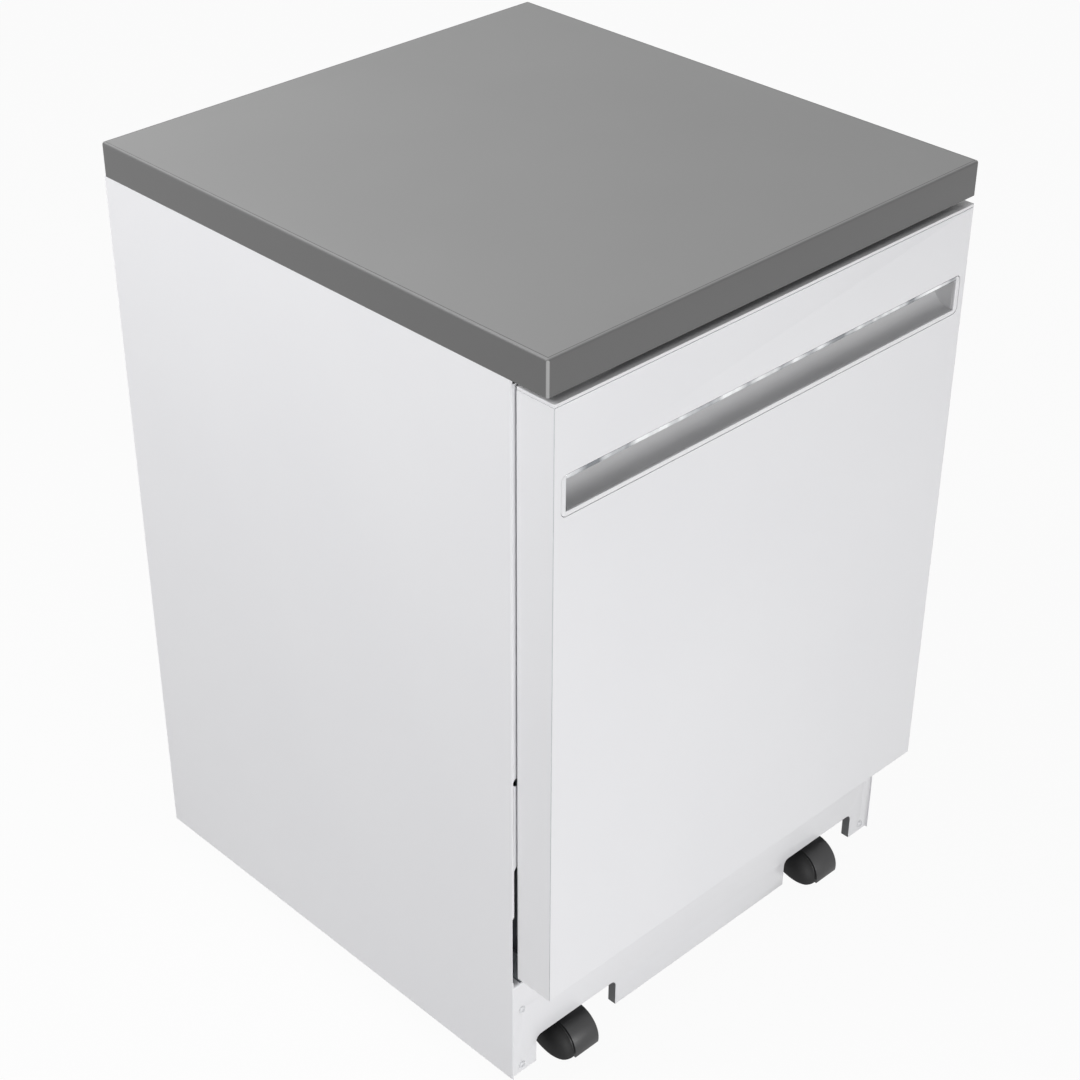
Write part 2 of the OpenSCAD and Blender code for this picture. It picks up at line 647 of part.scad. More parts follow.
// Extension spring with a straight hook at each end
module door_springs() color("#6d7075") both_sides() {
    steps = 8;
    c = [tub_out + 13, 0, hinge_z - 5];
    n = spring_turns * steps;
    ps = [for (i = [0:n]) c + [spring_r * cos(360 * i / steps), spring_start + (spring_end - spring_start) * i / n,
                               spring_r * sin(360 * i / steps)]];
    ns = [for (i = [0:n]) [cos(360 * i / steps), 0, sin(360 * i / steps)]];
    wire(ps, ns, spring_wire);
    for (y = [spring_start, spring_end]) rod_x(c.x - 1, c.x + spring_r, y, c.z, 1.2 * spring_wire);
    rod_y(spring_start - 14, spring_start + 1, c.x, c.z, spring_wire);
    rod_y(spring_end - 1, spring_end + 13, c.x, c.z, spring_wire);
    rod_x(arm_x + arm_t + 0.6, c.x + 1, spring_start - 14, c.z, 1.2 * spring_wire);
}

// Housing above the tub's opening that the tongue enters
module latch_housing() color("#4a4c50") difference() {
    block([-24, flange_back + tub_wall, roof_z + 3.2], [24, flange_back + 34, roof_z + 22]);
    block([-20, flange_back + tub_wall - 1, roof_z + 5.2], [20, flange_back + 31, roof_z + 20]);
}

// Loop on the door liner that the latch holds
module latch_tongue() color("#9fa2a6") difference() {
    block([-12, liner_y, roof_z + 8.5], [12, flange_back + 20, roof_z + 13.5]);
    block([-7, flange_back + 8, roof_z + 8], [7, flange_back + 15, roof_z + 14]);
}

// ---------- detergent and rinse aid ----------

module dispenser_body() color("#d9dadc") {
    x0 = dispenser_x - dispenser_w / 2;
    z0 = dispenser_z - dispenser_h / 2;
    cup_x = x0 + 12;
    difference() {
        union() {
            along_y(liner_y, liner_y + dispenser_t) round_rect([x0, z0], [x0 + dispenser_w, z0 + dispenser_h], 10);
            block([x0 + 6.3, liner_y - 24, z0 + 6.3], [x0 + dispenser_w - 6.3, liner_y, z0 + dispenser_h - 6.3]);
        }
        along_y(liner_y - 22, liner_y + dispenser_t + 1)
            round_rect([cup_x + 5, dispenser_z - cup_h / 2 + 5], [cup_x + cup_w - 5, dispenser_z + cup_h / 2 - 5], 8);
        rod_y(liner_y - 10, liner_y + dispenser_t + 1, x0 + dispenser_w - 34, dispenser_z, 12 + run_fit);
    }
}

// Cover that slides sideways off the cup
module dispenser_lid() color("#c3c5c8") {
    x0 = dispenser_x - dispenser_w / 2 + 12;
    y0 = liner_y + dispenser_t + loose;
    along_y(y0, y0 + 3) round_rect([x0, dispenser_z - cup_h / 2], [x0 + cup_w, dispenser_z + cup_h / 2], 6);
    along_y(y0 + 3 - e, y0 + 6) translate([x0 + cup_w - 12, dispenser_z]) rotate(90) slot_2d(40, 8);
}

module rinse_aid_cap() color("#4e7fa8") {
    x = dispenser_x + dispenser_w / 2 - 34;
    y0 = liner_y + dispenser_t + loose;
    rod_y(liner_y - 9, y0 + 1, x, dispenser_z, 12);
    rod_y(y0, y0 + 4, x, dispenser_z, cap_r);
    along_y(y0 + 4 - e, y0 + 9) translate([x, dispenser_z]) slot_2d(28, 6);
}

// Round vent grille in the liner
module door_vent() color("#8b8e92") difference() {
    union() {
        rod_y(liner_y, liner_y + 3, vent_x, vent_z, 37);
        rod_y(liner_y - 12, liner_y, vent_x, vent_z, 30.6);
    }
    for (i = [-3:3]) block([vent_x - sqrt(27 * 27 - i * i * 56), liner_y - 13, vent_z + i * 7.5 - 1.6],
                           [vent_x + sqrt(27 * 27 - i * i * 56), liner_y + 4, vent_z + i * 7.5 + 1.6]);
}

// ---------- racks ----------

// Wire that runs across a rack's base and up both sides; across = 0 runs front to back
module base_wire(at, low, high, across) {
    bend = 8;
    lo = across == 1 ? -rack_half : rack_y;
    hi = across == 1 ? rack_half : rack_back;
    path = [[lo, high], [lo, low + bend], [lo + bend, low], [hi - bend, low], [hi, low + bend], [hi, high]];
    ps = [for (p = path) across == 1 ? [p[0], at, p[1]] : [at, p[0], p[1]]];
    ns = [for (p = path) across == 1 ? [0, 1, 0] : [1, 0, 0]];
    wire(ps, ns, wire_d / 2);
}

// Closed rim round a rack at one height, as two halves welded in the middle
module rim(z, r) {
    c = 12;
    x = rack_half;
    path = [[-1, rack_y], [x - c, rack_y], [x, rack_y + c], [x, rack_back - c], [x - c, rack_back], [-1, rack_back]];
    both_sides() wire([for (p = path) [p[0], p[1], z]], [for (p = path) [0, 0, 1]], r);
}

module tine(x, y, z, h, lean) wire([[x, y, z], [x + lean, y, z + h]], [[0, 1, 0], [0, 1, 0]], 0.4 * wire_d);

module basket(low, high, mid) {
    for (x = rack_xs) base_wire(x, low, high, 0);
    for (y = rack_ys) base_wire(y, low + 0.8 * wire_d, high, 1);
    rim(high, 0.6 * wire_d);
    rim(mid, wire_d / 2);
}

module upper_rack() color("#b9bcc1") {
    basket(upper_rack_z, upper_rack_z + upper_rack_h, rail_z + rail_h / 2);
    for (s = [-1, 1], y = rack_ys) tine(s * 1.5 * pitch_x, y, upper_rack_z + 2, 62, 8 * s);
}

// Nylon blocks that slide in the rails
module upper_rack_glides() color("#e4e5e7") both_sides() for (y = [rack_y + 30, rack_back - 30])
    block([rack_side, y - 14, rail_z + 2 + loose], [tub_x - 1.5 - loose, y + 14, rail_z + rail_h - 2 - loose]);

// Water duct under the upper rack, from the dock at the back to the arm's post
module upper_conduit() color("#c2c5c9") {
    top = conduit_top;
    block([-12, hub_y - 12, top - 9], [12, rack_back + 4, top]);
    rod_z(upper_arm_z - 1.6, top - 8, 0, hub_y, arm_post_r - 2);
    rod_z(upper_arm_z - 5, upper_arm_z - loose, 0, hub_y, arm_post_r + 2);
    rod_z(upper_arm_z + 12 + loose, top - 8, 0, hub_y, arm_post_r + 4);
}

// Flat arm with two tapered blades, a hub and angled-jet seats
module spray_arm(length, root, tip, t, post_r) {
    difference() {
        union() {
            linear_extrude(t) for (s = [-1, 1]) {
                x = length / 2 - tip;
                polygon([[0, -s * root], [s * x, -s * tip], [s * x, s * tip], [0, s * root]]);
                translate([s * x, 0]) circle(tip, $fn = 64);
            }
            cylinder(h = t, r = root + 3, $fn = 96);
        }
        translate([0, 0, -1]) cylinder(h = t + 2, r = post_r + run_fit, $fn = 96);
        for (s = [-1, 1], i = [0:3]) translate([s * (length / 2 - 18 - i * 46), s * (i % 2 == 0 ? 3 : -4), t - 2])
            cylinder(h = 3, r = 2.2, $fn = 32);
    }
}

module upper_spray_arm() color("#d0d2d5") translate([0, hub_y, upper_arm_z])
    spray_arm(upper_arm_l, 16, 11, 12, arm_post_r - 2);

module lower_spray_arm() color("#d0d2d5") translate([0, hub_y, lower_arm_z])
    rotate(24) spray_arm(lower_arm_l, 21, 13, arm_t_z, arm_post_r);

module lower_rack() color("#b9bcc1") {
    basket(lower_rack_z, lower_rack_z + lower_rack_h, lower_rack_z + lower_rack_h / 2 + 8);
    for (s = [-2.5, 0.5, 2.5], i = [0:7]) if (s < 1 || i > 0)
        tine(s * pitch_x, rack_ys[i], lower_rack_z + 2, 74, 10 * sign(s));
}

// Legs with the stub axles of the wheels, hung from the rack's sides
module lower_rack_brackets() color("#a8abb0") both_sides() for (y = rack_wheel_ys) {
    block([rack_side, y - 11, rack_wheel_z - 8], [rack_side + 3, y + 11, lower_rack_z + 42]);
    rod_x(rack_side + 2, rack_wheel_x + rack_wheel_w / 2 + loose, y, rack_wheel_z, stub_r);
    rod_x(rack_wheel_x + rack_wheel_w / 2 + loose, rack_wheel_x + rack_wheel_w / 2 + 2, y, rack_wheel_z, stub_r + 1.6);
}

module rack_wheel(s, i) color("#9a9da2") difference() {
    x = s * rack_wheel_x;
    y = rack_wheel_ys[i];
    rod_x(x - rack_wheel_w / 2, x + rack_wheel_w / 2, y, rack_wheel_z, rack_wheel_r);
    rod_x(x - rack_wheel_w, x + rack_wheel_w, y, rack_wheel_z, stub_r + run_fit);
    for (k = [-1, 1]) translate([x + k * (rack_wheel_w / 2 + 0.6), y, rack_wheel_z]) rotate([0, 90, 0]) difference() {
        cylinder(h = 5.2, r = rack_wheel_r - 3, $fn = 64, center = true);
        cylinder(h = 6, r = stub_r + 3, $fn = 64, center = true);
    }
}

module rack_wheel_front_left() rack_wheel(-1, 0);
module rack_wheel_front_right() rack_wheel(1, 0);
module rack_wheel_rear_left() rack_wheel(-1, 1);
module rack_wheel_rear_right() rack_wheel(1, 1);

// Cutlery basket: three cells, slotted walls and a bridge handle
module silverware_basket() color("#8f949a") {
    w = 3 * pitch_x - 14;
    d = 66;
    h = 118;
    wall = 2;
    cell = (w - 4 * wall) / 3;
    x0 = pitch_x + 8;
    y0 = rack_y + 8;
    z0 = lower_rack_z + 1.3 * wire_d;
    translate([x0, y0, z0]) {
        difference() {
            cube([w, d, h]);
            for (i = [0:2]) translate([wall + i * (cell + wall), wall, wall]) cube([cell, d - 2 * wall, h]);
            for (i = [0:2], j = [0:4]) translate([wall + i * (cell + wall) + 6 + j * (cell - 18) / 4, -1, 14])
                cube([5, d + 2, h - 30]);
        }
        translate([w / 2 - 3, 0, h - e]) cube([6, 4, 26]);
        translate([w / 2 - 3, d - 4, h - e]) cube([6, 4, 26]);
        translate([w / 2 - 3, 0, h + 22]) cube([6, d, 7]);
    }
}

// ---------- wash system ----------

heater_r = 168;
heater_tube = 4;
heater_z = floor_z + 11;
heater_open = 16;                                   // half the gap at the back, in degrees
heater_leg_x = heater_r * sin(heater_open);
heater_leg_y = hub_y + heater_r * cos(heater_open);

// Post under the lower arm, floor duct and rear riser to the dock
module feed_tube() color("#c2c5c9") {
    post_low = floor_z - sump_depth + 8;
    top = conduit_top;
    rod_z(post_low, lower_arm_z - loose, 0, hub_y, arm_post_r + 5 - loose);
    rod_z(lower_arm_z - 1, lower_arm_z + arm_t_z + loose + 3, 0, hub_y, arm_post_r);
    rod_z(lower_arm_z + arm_t_z + loose, lower_arm_z + arm_t_z + 4, 0, hub_y, arm_post_r + 4);
    difference() {
        block([-15, hub_y, floor_z], [15, tub_back, floor_z + 9]);
        rod_z(floor_z - 1, floor_z + 10, 0, hub_y, arm_post_r);
    }
    block([-15, tub_back - 10, floor_z], [15, tub_back, top]);
    // dock that meets the conduit's mouth
    block([-17, rack_back + 4 + loose, top - 13], [17, tub_back, top + 4]);
}

module sump() color("#33363a") difference() {
    top = floor_z - tub_wall;
    union() {
        translate([0, hub_y, 0]) rotate_extrude($fn = 128) polygon([
            [0, floor_z - sump_depth - 3], [62, floor_z - sump_depth - 3], [107, top - 14], [107, top - 3],
            [122, top - 3], [122, top], [0, top]]);
        rod_x(70, 128, hub_y, floor_z - 44, 17);
    }
    translate([0, hub_y, 0]) rotate_extrude($fn = 128)
        polygon([[0, floor_z - sump_depth], [60, floor_z - sump_depth], [104, top - 14], [104, top + 1], [0, top + 1]]);
    rod_x(60, 130, hub_y, floor_z - 44, 13);
}

// Coarse strainer plate round the post, over the bowl, with the fine cup below it
module filter() color("#85898e") difference() {
    union() {
        translate([0, hub_y, floor_z - 5]) cylinder(h = 5 - loose, r = 104 - loose, $fn = 128);
        translate([0, hub_y, floor_z - sump_depth + 0.2]) cylinder(h = sump_depth - 5, r = 46, $fn = 96);
    }
    translate([0, hub_y, floor_z - sump_depth + 2]) cylinder(h = sump_depth - 7.5, r = 44, $fn = 96);
    rod_z(floor_z - sump_depth - 1, floor_z + 1, 0, hub_y, arm_post_r + 5);
    for (a = [0:15:345]) translate([0, hub_y, 0]) rotate(a)
        block([60, -3, floor_z - 6], [92, 3, floor_z + 1]);
    block([-15 - loose, hub_y + 40, floor_z - 0.6], [15 + loose, hub_y + 110, floor_z + 1]);
}

// Circulation motor and its volute beside the sump
module wash_pump() color("#54585e") {
    z = floor_z - 44;
    rod_x(128, 146, hub_y, z, 38);
    rod_x(146, 152, hub_y, z, 20);
    rod_x(152, 236, hub_y, z, 33);
    rod_x(236, 244, hub_y, z, 12);
}

// Drain pump on a stub of the bowl's left side
module drain_pump() color("#6b7077") {
    z = floor_z - 48;
    difference() {
        union() {
            rod_x(-132, -60, hub_y, z, 12);
            rod_x(-170, -132, hub_y, z, 27);
            rod_x(-214, -170, hub_y, z, 20);
            rod_y(hub_y, hub_y + 60, -150, z + 16, 8);
        }
        rod_y(hub_y + 20, hub_y + 61, -150, z + 16, 6);
        translate([0, hub_y, 0]) rotate_extrude($fn = 128)
            polygon([[0, floor_z - sump_depth - 3], [62.2, floor_z - sump_depth - 3], [107.2, floor_z - tub_wall - 14],
                     [107.2, floor_z + 10], [0, floor_z + 10]]);
    }
}

module heater() color("#4d5055") {
    translate([0, hub_y, heater_z]) rotate(90 + heater_open) rotate_extrude(angle = 360 - 2 * heater_open, $fn = 128)
        translate([heater_r, 0]) circle(heater_tube, $fn = 32);
    for (s = [-1, 1]) {
        rod_z(floor_z - 22, heater_z, s * heater_leg_x, heater_leg_y, heater_tube);
        translate([s * heater_leg_x, heater_leg_y, heater_z]) sphere(heater_tube + 0.4, $fn = 48);
    }
}

// Overfill float: a dome on a stem that slides in the tub floor
module float() color("#d8dadc") {
    rod_z(floor_z - 26, floor_z + 12, float_x, float_y, 5);
    translate([float_x, float_y, 0]) rotate_extrude($fn = 96) polygon(concat(
        [[0, floor_z + 1.2], [17, floor_z + 1.2]],
        [for (a = [0:15:90]) [17 * cos(a), floor_z + 22 + 9 * sin(a)]]));
}

module inlet_valve() color("#7a4a3a") {
    difference() {
        rod_x(-tub_out - 14, -tub_x + 2, inlet_y, inlet_z, 8.6);
        rod_x(-tub_out - 4, -tub_x + 3, inlet_y, inlet_z, 5.5);
    }
    block([-in_x + 1, inlet_y - 22, inlet_z - 22], [-tub_out - 13, inlet_y + 22, inlet_z + 14]);
    rod_z(inlet_z - 46, inlet_z - 21, -tub_out - 13.5, inlet_y - 10, 7);
}

// Rubber hose grommet and cable gland in the rear cover
module rear_glands() color("#2c2e31") {
    for (g = [[hose_x, 34, 24], [cable_x, 11, 4.5]]) difference() {
        union() {
            rod_y(back_y - 8, back_y, g[0], outlet_z, g[1] - 0.1);
            rod_y(back_y - 8, back_y - 2 * sheet_t, g[0], outlet_z, g[1] + 4);
        }
        rod_y(back_y - 9, back_y + 1, g[0], outlet_z, g[2]);
    }
}

// ---------- casters ----------

// Plate, raceway and kingpin of all four casters
module caster_stems() color("#6e7176") for (x = [-caster_x, caster_x], y = [front_caster_y, rear_caster_y]) {
    difference() {
        block([x - 30, y - 30, base_z - 2.5], [x + 30, y + 30, base_z]);
        for (dx = [-22, 22], dy = [-22, 22]) rod_z(base_z - 3, base_z + 1, x + dx, y + dy, 2.6);
    }
    rod_z(race_z + loose, base_z - 2.4, x, y, 18);
    rod_z(hood_z + 14, race_z + 1, x, y, kingpin_r);
}

// Hood with its domed end, neck and axle; the wheel turns in the open slot
module caster_hood(x, y) color("#26282b") {
    axle_y = y - trail;
    cy = axle_y - hood_lead;
    left = x - hood_w / 2;
    cheek = (wheel_w + 3) / 2;
    low = hood_z - 6.1;
    difference() {
        union() {
            difference() {
                union() {
                    rod_x(left, x + hood_w / 2 - 2, cy, hood_z, hood_r);
                    rod_x(left, x + hood_w / 2, cy, hood_z, hood_r - 2);
                    translate([x + hood_w / 2 - 2, cy, hood_z]) rotate([0, 90, 0])
                        rotate_extrude($fn = 96) translate([hood_r - 2, 0]) circle(2, $fn = 32);
                    rod_x(left - groove_w - 1, left + 1, cy, hood_z, hood_r - 3.4);
                    translate([left - groove_w, cy, hood_z]) rotate([0, -90, 0]) rotate_extrude($fn = 96)
                        polygon(concat([[0, 0]], [for (a = [0:9:90]) [(hood_r - 1.4) * pow(cos(a), 0.85), dome_d * pow(sin(a), 0.85)]]));
                }
                translate([x, cy, low - 25]) cube([4 * hood_w, 3 * hood_r, 50], center = true);
                // the domed end's lower edge climbs towards the back
                along_x(left - groove_w - dome_d - 1, left - groove_w / 2) polygon([
                    [cy - hood_r - 5, 0], [cy - hood_r - 5, low + 2.4], [cy - hood_r + 6, low + 2.4],
                    [cy + hood_r + 5, low + 2.4 + 0.22 * (2 * hood_r - 1)], [cy + hood_r + 5, 0]]);
            }
            // neck and kingpin boss behind the wheel
            along_x(x - 11, x + 11) polygon([
                [cy + 12, hood_z + 20], [cy + 12, hood_z + 28], [y, race_z], [y + 6, race_z], [y + 6, hood_z + 13],
                [y - 8, hood_z + 13]]);
            rod_z(hood_z + 13, race_z, x, y, 10);
        }
        rod_x(x - cheek, x + cheek, axle_y, hood_z, wheel_r + 2);
        block([x - cheek, axle_y, hood_z - 25], [x + cheek, cy + hood_r + 1, hood_z + 4]);
        rod_z(hood_z + 12, race_z + 1, x, y, kingpin_r + run_fit);
    }
    rod_x(left, x + hood_w / 2 - 1, axle_y, hood_z, axle_r);
}

module caster_wheel(x, y) color("#2f3134") difference() {
    axle_y = y - trail;
    union() {
        rod_x(x - wheel_w / 2, x + wheel_w / 2, axle_y, hood_z, wheel_r - 1.5);
        rod_x(x - wheel_w / 2 + 1.5, x + wheel_w / 2 - 1.5, axle_y, hood_z, wheel_r);
        for (s = [-1, 1]) translate([x + s * (wheel_w / 2 - 1.5), axle_y, hood_z]) rotate([0, 90, 0])
            rotate_extrude($fn = 96) translate([wheel_r - 1.5, 0]) circle(1.5, $fn = 32);
    }
    rod_x(x - wheel_w, x + wheel_w, axle_y, hood_z, axle_r + run_fit);
    for (s = [-1, 1]) translate([x + s * wheel_w / 2, axle_y, hood_z]) rotate([0, 90, 0]) difference() {
        cylinder(h = 5, r = wheel_r - 5, $fn = 64, center = true);
        cylinder(h = 6, r = axle_r + 4, $fn = 64, center = true);
    }
}

module caster_hood_front_left() caster_hood(-caster_x, front_caster_y);
module caster_hood_front_right() caster_hood(caster_x, front_caster_y);
module caster_hood_rear_left() caster_hood(-caster_x, rear_caster_y);
module caster_hood_rear_right() caster_hood(caster_x, rear_caster_y);
module caster_wheel_front_left() caster_wheel(-caster_x, front_caster_y);
module caster_wheel_front_right() caster_wheel(caster_x, front_caster_y);
module caster_wheel_rear_left() caster_wheel(-caster_x, rear_caster_y);
module caster_wheel_rear_right() caster_wheel(caster_x, rear_caster_y);

worktop();
side_panel_left();
side_panel_right();
rear_panel();
base_frame();
kick_panel();
kick_screws();
tub();
tub_flange();
door_gasket();
rack_rails();
door_skin();
door_liner();
control_strip();
start_button();
cycle_button();
dry_button();
handle_bezel();
handle_scoop();
handle_lip();
hinge_arms();
hinge_pins();
hinge_brackets();
door_springs();
latch_housing();
latch_tongue();
dispenser_body();
dispenser_lid();
rinse_aid_cap();
door_vent();
upper_rack();
upper_rack_glides();
upper_conduit();
upper_spray_arm();
lower_rack();
lower_rack_brackets();
rack_wheel_front_left();
rack_wheel_front_right();
rack_wheel_rear_left();
rack_wheel_rear_right();
silverware_basket();
lower_spray_arm();
feed_tube();
sump();
filter();
wash_pump();
drain_pump();
heater();
float();
inlet_valve();
rear_glands();
caster_stems();
caster_hood_front_left();
caster_hood_front_right();
caster_hood_rear_left();
caster_hood_rear_right();
caster_wheel_front_left();
caster_wheel_front_right();
caster_wheel_rear_left();
caster_wheel_rear_right();
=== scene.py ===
import json
import math

import bmesh
import bpy
from mathutils import Matrix, Vector

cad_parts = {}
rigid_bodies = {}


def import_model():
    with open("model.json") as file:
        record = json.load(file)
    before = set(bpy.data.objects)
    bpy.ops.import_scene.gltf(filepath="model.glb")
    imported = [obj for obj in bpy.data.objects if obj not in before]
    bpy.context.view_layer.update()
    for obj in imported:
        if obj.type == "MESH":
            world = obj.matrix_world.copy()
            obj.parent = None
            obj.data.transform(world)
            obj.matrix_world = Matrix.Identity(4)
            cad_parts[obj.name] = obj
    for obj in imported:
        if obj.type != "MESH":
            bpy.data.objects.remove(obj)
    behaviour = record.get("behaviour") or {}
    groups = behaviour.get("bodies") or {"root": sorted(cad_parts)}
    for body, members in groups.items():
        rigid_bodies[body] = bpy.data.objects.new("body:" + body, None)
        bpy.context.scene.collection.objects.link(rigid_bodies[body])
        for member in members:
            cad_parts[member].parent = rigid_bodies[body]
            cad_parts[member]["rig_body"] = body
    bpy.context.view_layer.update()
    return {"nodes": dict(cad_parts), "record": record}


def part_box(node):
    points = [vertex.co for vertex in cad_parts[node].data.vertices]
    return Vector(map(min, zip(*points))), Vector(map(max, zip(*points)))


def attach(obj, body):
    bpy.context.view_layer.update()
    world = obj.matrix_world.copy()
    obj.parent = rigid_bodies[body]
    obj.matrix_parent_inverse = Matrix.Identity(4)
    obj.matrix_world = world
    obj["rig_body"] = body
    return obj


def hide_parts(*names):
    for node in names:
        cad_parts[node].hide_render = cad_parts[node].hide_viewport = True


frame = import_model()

nodes = frame["nodes"]
scene = bpy.context.scene
scene.view_settings.view_transform = "Standard"
mm = 0.001
print("frame loaded:", len(nodes), "solids")


def hexColour(code):
    parts = [int(code[i:i + 2], 16) / 255 for i in (1, 3, 5)]
    return [p / 12.92 if p <= 0.04045 else ((p + 0.055) / 1.055) ** 2.4 for p in parts] + [1.0]


def addNode(tree, kind, settings=None, links=None):
    node = tree.nodes.new(kind)
    for key, value in (settings or {}).items():
        if isinstance(key, int) or key[0].isupper():
            node.inputs[key].default_value = value
        else:
            setattr(node, key, value)
    for key, output in (links or {}).items():
        tree.links.new(output, node.inputs[key])
    return node


def startMaterial(name, values):
    # returns the material, its tree, its Principled node and Object coordinates in metres
    material = bpy.data.materials.new(name)
    material.use_nodes = True
    tree = material.node_tree
    shader = tree.nodes["Principled BSDF"]
    for key, value in values.items():
        shader.inputs[key].default_value = value
    place = addNode(tree, "ShaderNodeTexCoord").outputs["Object"]
    return material, tree, shader, place


def coat(tree, shader, colour, gloss, bump):
    # lays a pattern's colour, roughness and bump on the shader
    tree.links.new(colour.outputs[2], shader.inputs["Base Color"])
    tree.links.new(gloss.outputs["Result"], shader.inputs["Roughness"])
    tree.links.new(bump.outputs["Normal"], shader.inputs["Normal"])


def toneMix(tree, look, share):
    # runs from the look's shade to its base colour as share goes from 0 to 1
    return addNode(tree, "ShaderNodeMix", {
        "data_type": "RGBA", 6: hexColour(look["shade"]), 7: hexColour(look["base"])}, {0: share})


def sprayedPaint(name, look):
    # baked enamel on sheet steel: smooth, faint orange peel, slow clouding of the film
    material, tree, shader, place = startMaterial(name, {
        "IOR": 1.5, "Coat Weight": look["gloss"], "Coat Roughness": 0.12})
    cloud = addNode(tree, "ShaderNodeTexNoise", {"Scale": 1 / (look["cloud"] * mm), "Detail": 2.0}, {"Vector": place})
    colour = toneMix(tree, look, cloud.outputs["Fac"])
    gloss = addNode(tree, "ShaderNodeMapRange", {"To Min": look["rough"] - 0.04, "To Max": look["rough"] + 0.05},
                    {"Value": cloud.outputs["Fac"]})
    peel = addNode(tree, "ShaderNodeTexNoise", {"Scale": 1 / (look["peel"] * mm), "Detail": 3.0, "Roughness": 0.6},
                   {"Vector": place})
    bump = addNode(tree, "ShaderNodeBump", {"Strength": 0.35, "Distance": look["depth"] * mm},
                   {"Height": peel.outputs["Fac"]})
    coat(tree, shader, colour, gloss, bump)
    return material


def mouldedPlastic(name, look):
    # injection-moulded part: spark-eroded grain, slight flow marks, soft sheen
    material, tree, shader, place = startMaterial(name, {
        "IOR": look.get("ior", 1.49), "Coat Weight": look.get("gloss", 0.0)})
    flow = addNode(tree, "ShaderNodeTexNoise", {"Scale": 1 / (look["flow"] * mm), "Detail": 3.0, "Distortion": 0.6},
                   {"Vector": place})
    colour = toneMix(tree, look, flow.outputs["Fac"])
    grain = addNode(tree, "ShaderNodeTexNoise", {"Scale": 1 / (look["grain"] * mm), "Detail": 4.0, "Roughness": 0.55},
                    {"Vector": place})
    gloss = addNode(tree, "ShaderNodeMapRange", {
        "From Min": 0.3, "From Max": 0.7, "To Min": look["rough"] - 0.05, "To Max": look["rough"] + 0.06},
        {"Value": grain.outputs["Fac"]})
    bump = addNode(tree, "ShaderNodeBump", {"Strength": 0.4, "Distance": look["depth"] * mm},
                   {"Height": grain.outputs["Fac"]})
    coat(tree, shader, colour, gloss, bump)
    return material


def zincedSteel(name, look):
    # hot-dip galvanised sheet: crystal spangle a few millimetres wide, each flake its own tone
    material, tree, shader, place = startMaterial(name, {"Metallic": 1.0})
    flakes = addNode(tree, "ShaderNodeTexVoronoi", {"Scale": 1 / (look["spangle"] * mm)}, {"Vector": place})
    haze = addNode(tree, "ShaderNodeTexNoise", {"Scale": 1 / (look["haze"] * mm), "Detail": 4.0}, {"Vector": place})
    tone = addNode(tree, "ShaderNodeSeparateColor", {}, {"Color": flakes.outputs["Color"]})
    both = addNode(tree, "ShaderNodeMath", {"operation": "MULTIPLY_ADD", 1: 0.55},
                   {0: tone.outputs["Red"], 2: haze.outputs["Fac"]})
    colour = toneMix(tree, look, both.outputs["Value"])
    gloss = addNode(tree, "ShaderNodeMapRange", {"To Min": look["rough"] - 0.08, "To Max": look["rough"] + 0.12},
                    {"Value": tone.outputs["Green"]})
    bump = addNode(tree, "ShaderNodeBump", {"Strength": 0.3, "Distance": 0.02 * mm}, {"Height": haze.outputs["Fac"]})
    coat(tree, shader, colour, gloss, bump)
    return material


def drawnMetal(name, look):
    # drawn or rolled metal: fine lines along one axis, stretched noise across the others
    material, tree, shader, place = startMaterial(name, {"Metallic": 1.0})
    stretch = addNode(tree, "ShaderNodeMapping", {"Scale": look["stretch"]}, {"Vector": place})
    lines = addNode(tree, "ShaderNodeTexNoise", {"Scale": 1 / (look["line"] * mm), "Detail": 3.0},
                    {"Vector": stretch.outputs["Vector"]})
    stain = addNode(tree, "ShaderNodeTexNoise", {"Scale": 1 / (look["stain"] * mm), "Detail": 2.0}, {"Vector": place})
    colour = toneMix(tree, look, stain.outputs["Fac"])
    gloss = addNode(tree, "ShaderNodeMapRange", {
        "From Min": 0.3, "From Max": 0.7, "To Min": look["rough"] - 0.05, "To Max": look["rough"] + 0.08},
        {"Value": lines.outputs["Fac"]})
    bump = addNode(tree, "ShaderNodeBump", {"Strength": 0.25, "Distance": look["depth"] * mm},
                   {"Height": lines.outputs["Fac"]})
    coat(tree, shader, colour, gloss, bump)
    return material


def chromePlated(name, look):
    # chrome on a moulding: mirror-like, with long soft streaks of painted reflection, light and shade painted into its
    # colour along its length
    material, tree, shader, place = startMaterial(name, {"Metallic": 1.0, "Roughness": look["rough"]})
    stretch = addNode(tree, "ShaderNodeMapping", {"Scale": (1, 0.1, 0.1)}, {"Vector": place})
    reflectionStreak = addNode(tree, "ShaderNodeTexNoise", {"Scale": 1 / (look["reflectionStreak"] * mm), "Detail": 2.0},
                     {"Vector": stretch.outputs["Vector"]})
    spread = addNode(tree, "ShaderNodeMapRange", {"From Min": 0.38, "From Max": 0.6}, {"Value": reflectionStreak.outputs["Fac"]})
    colour = toneMix(tree, look, spread.outputs["Result"])
    tree.links.new(colour.outputs[2], shader.inputs["Base Color"])
    return material


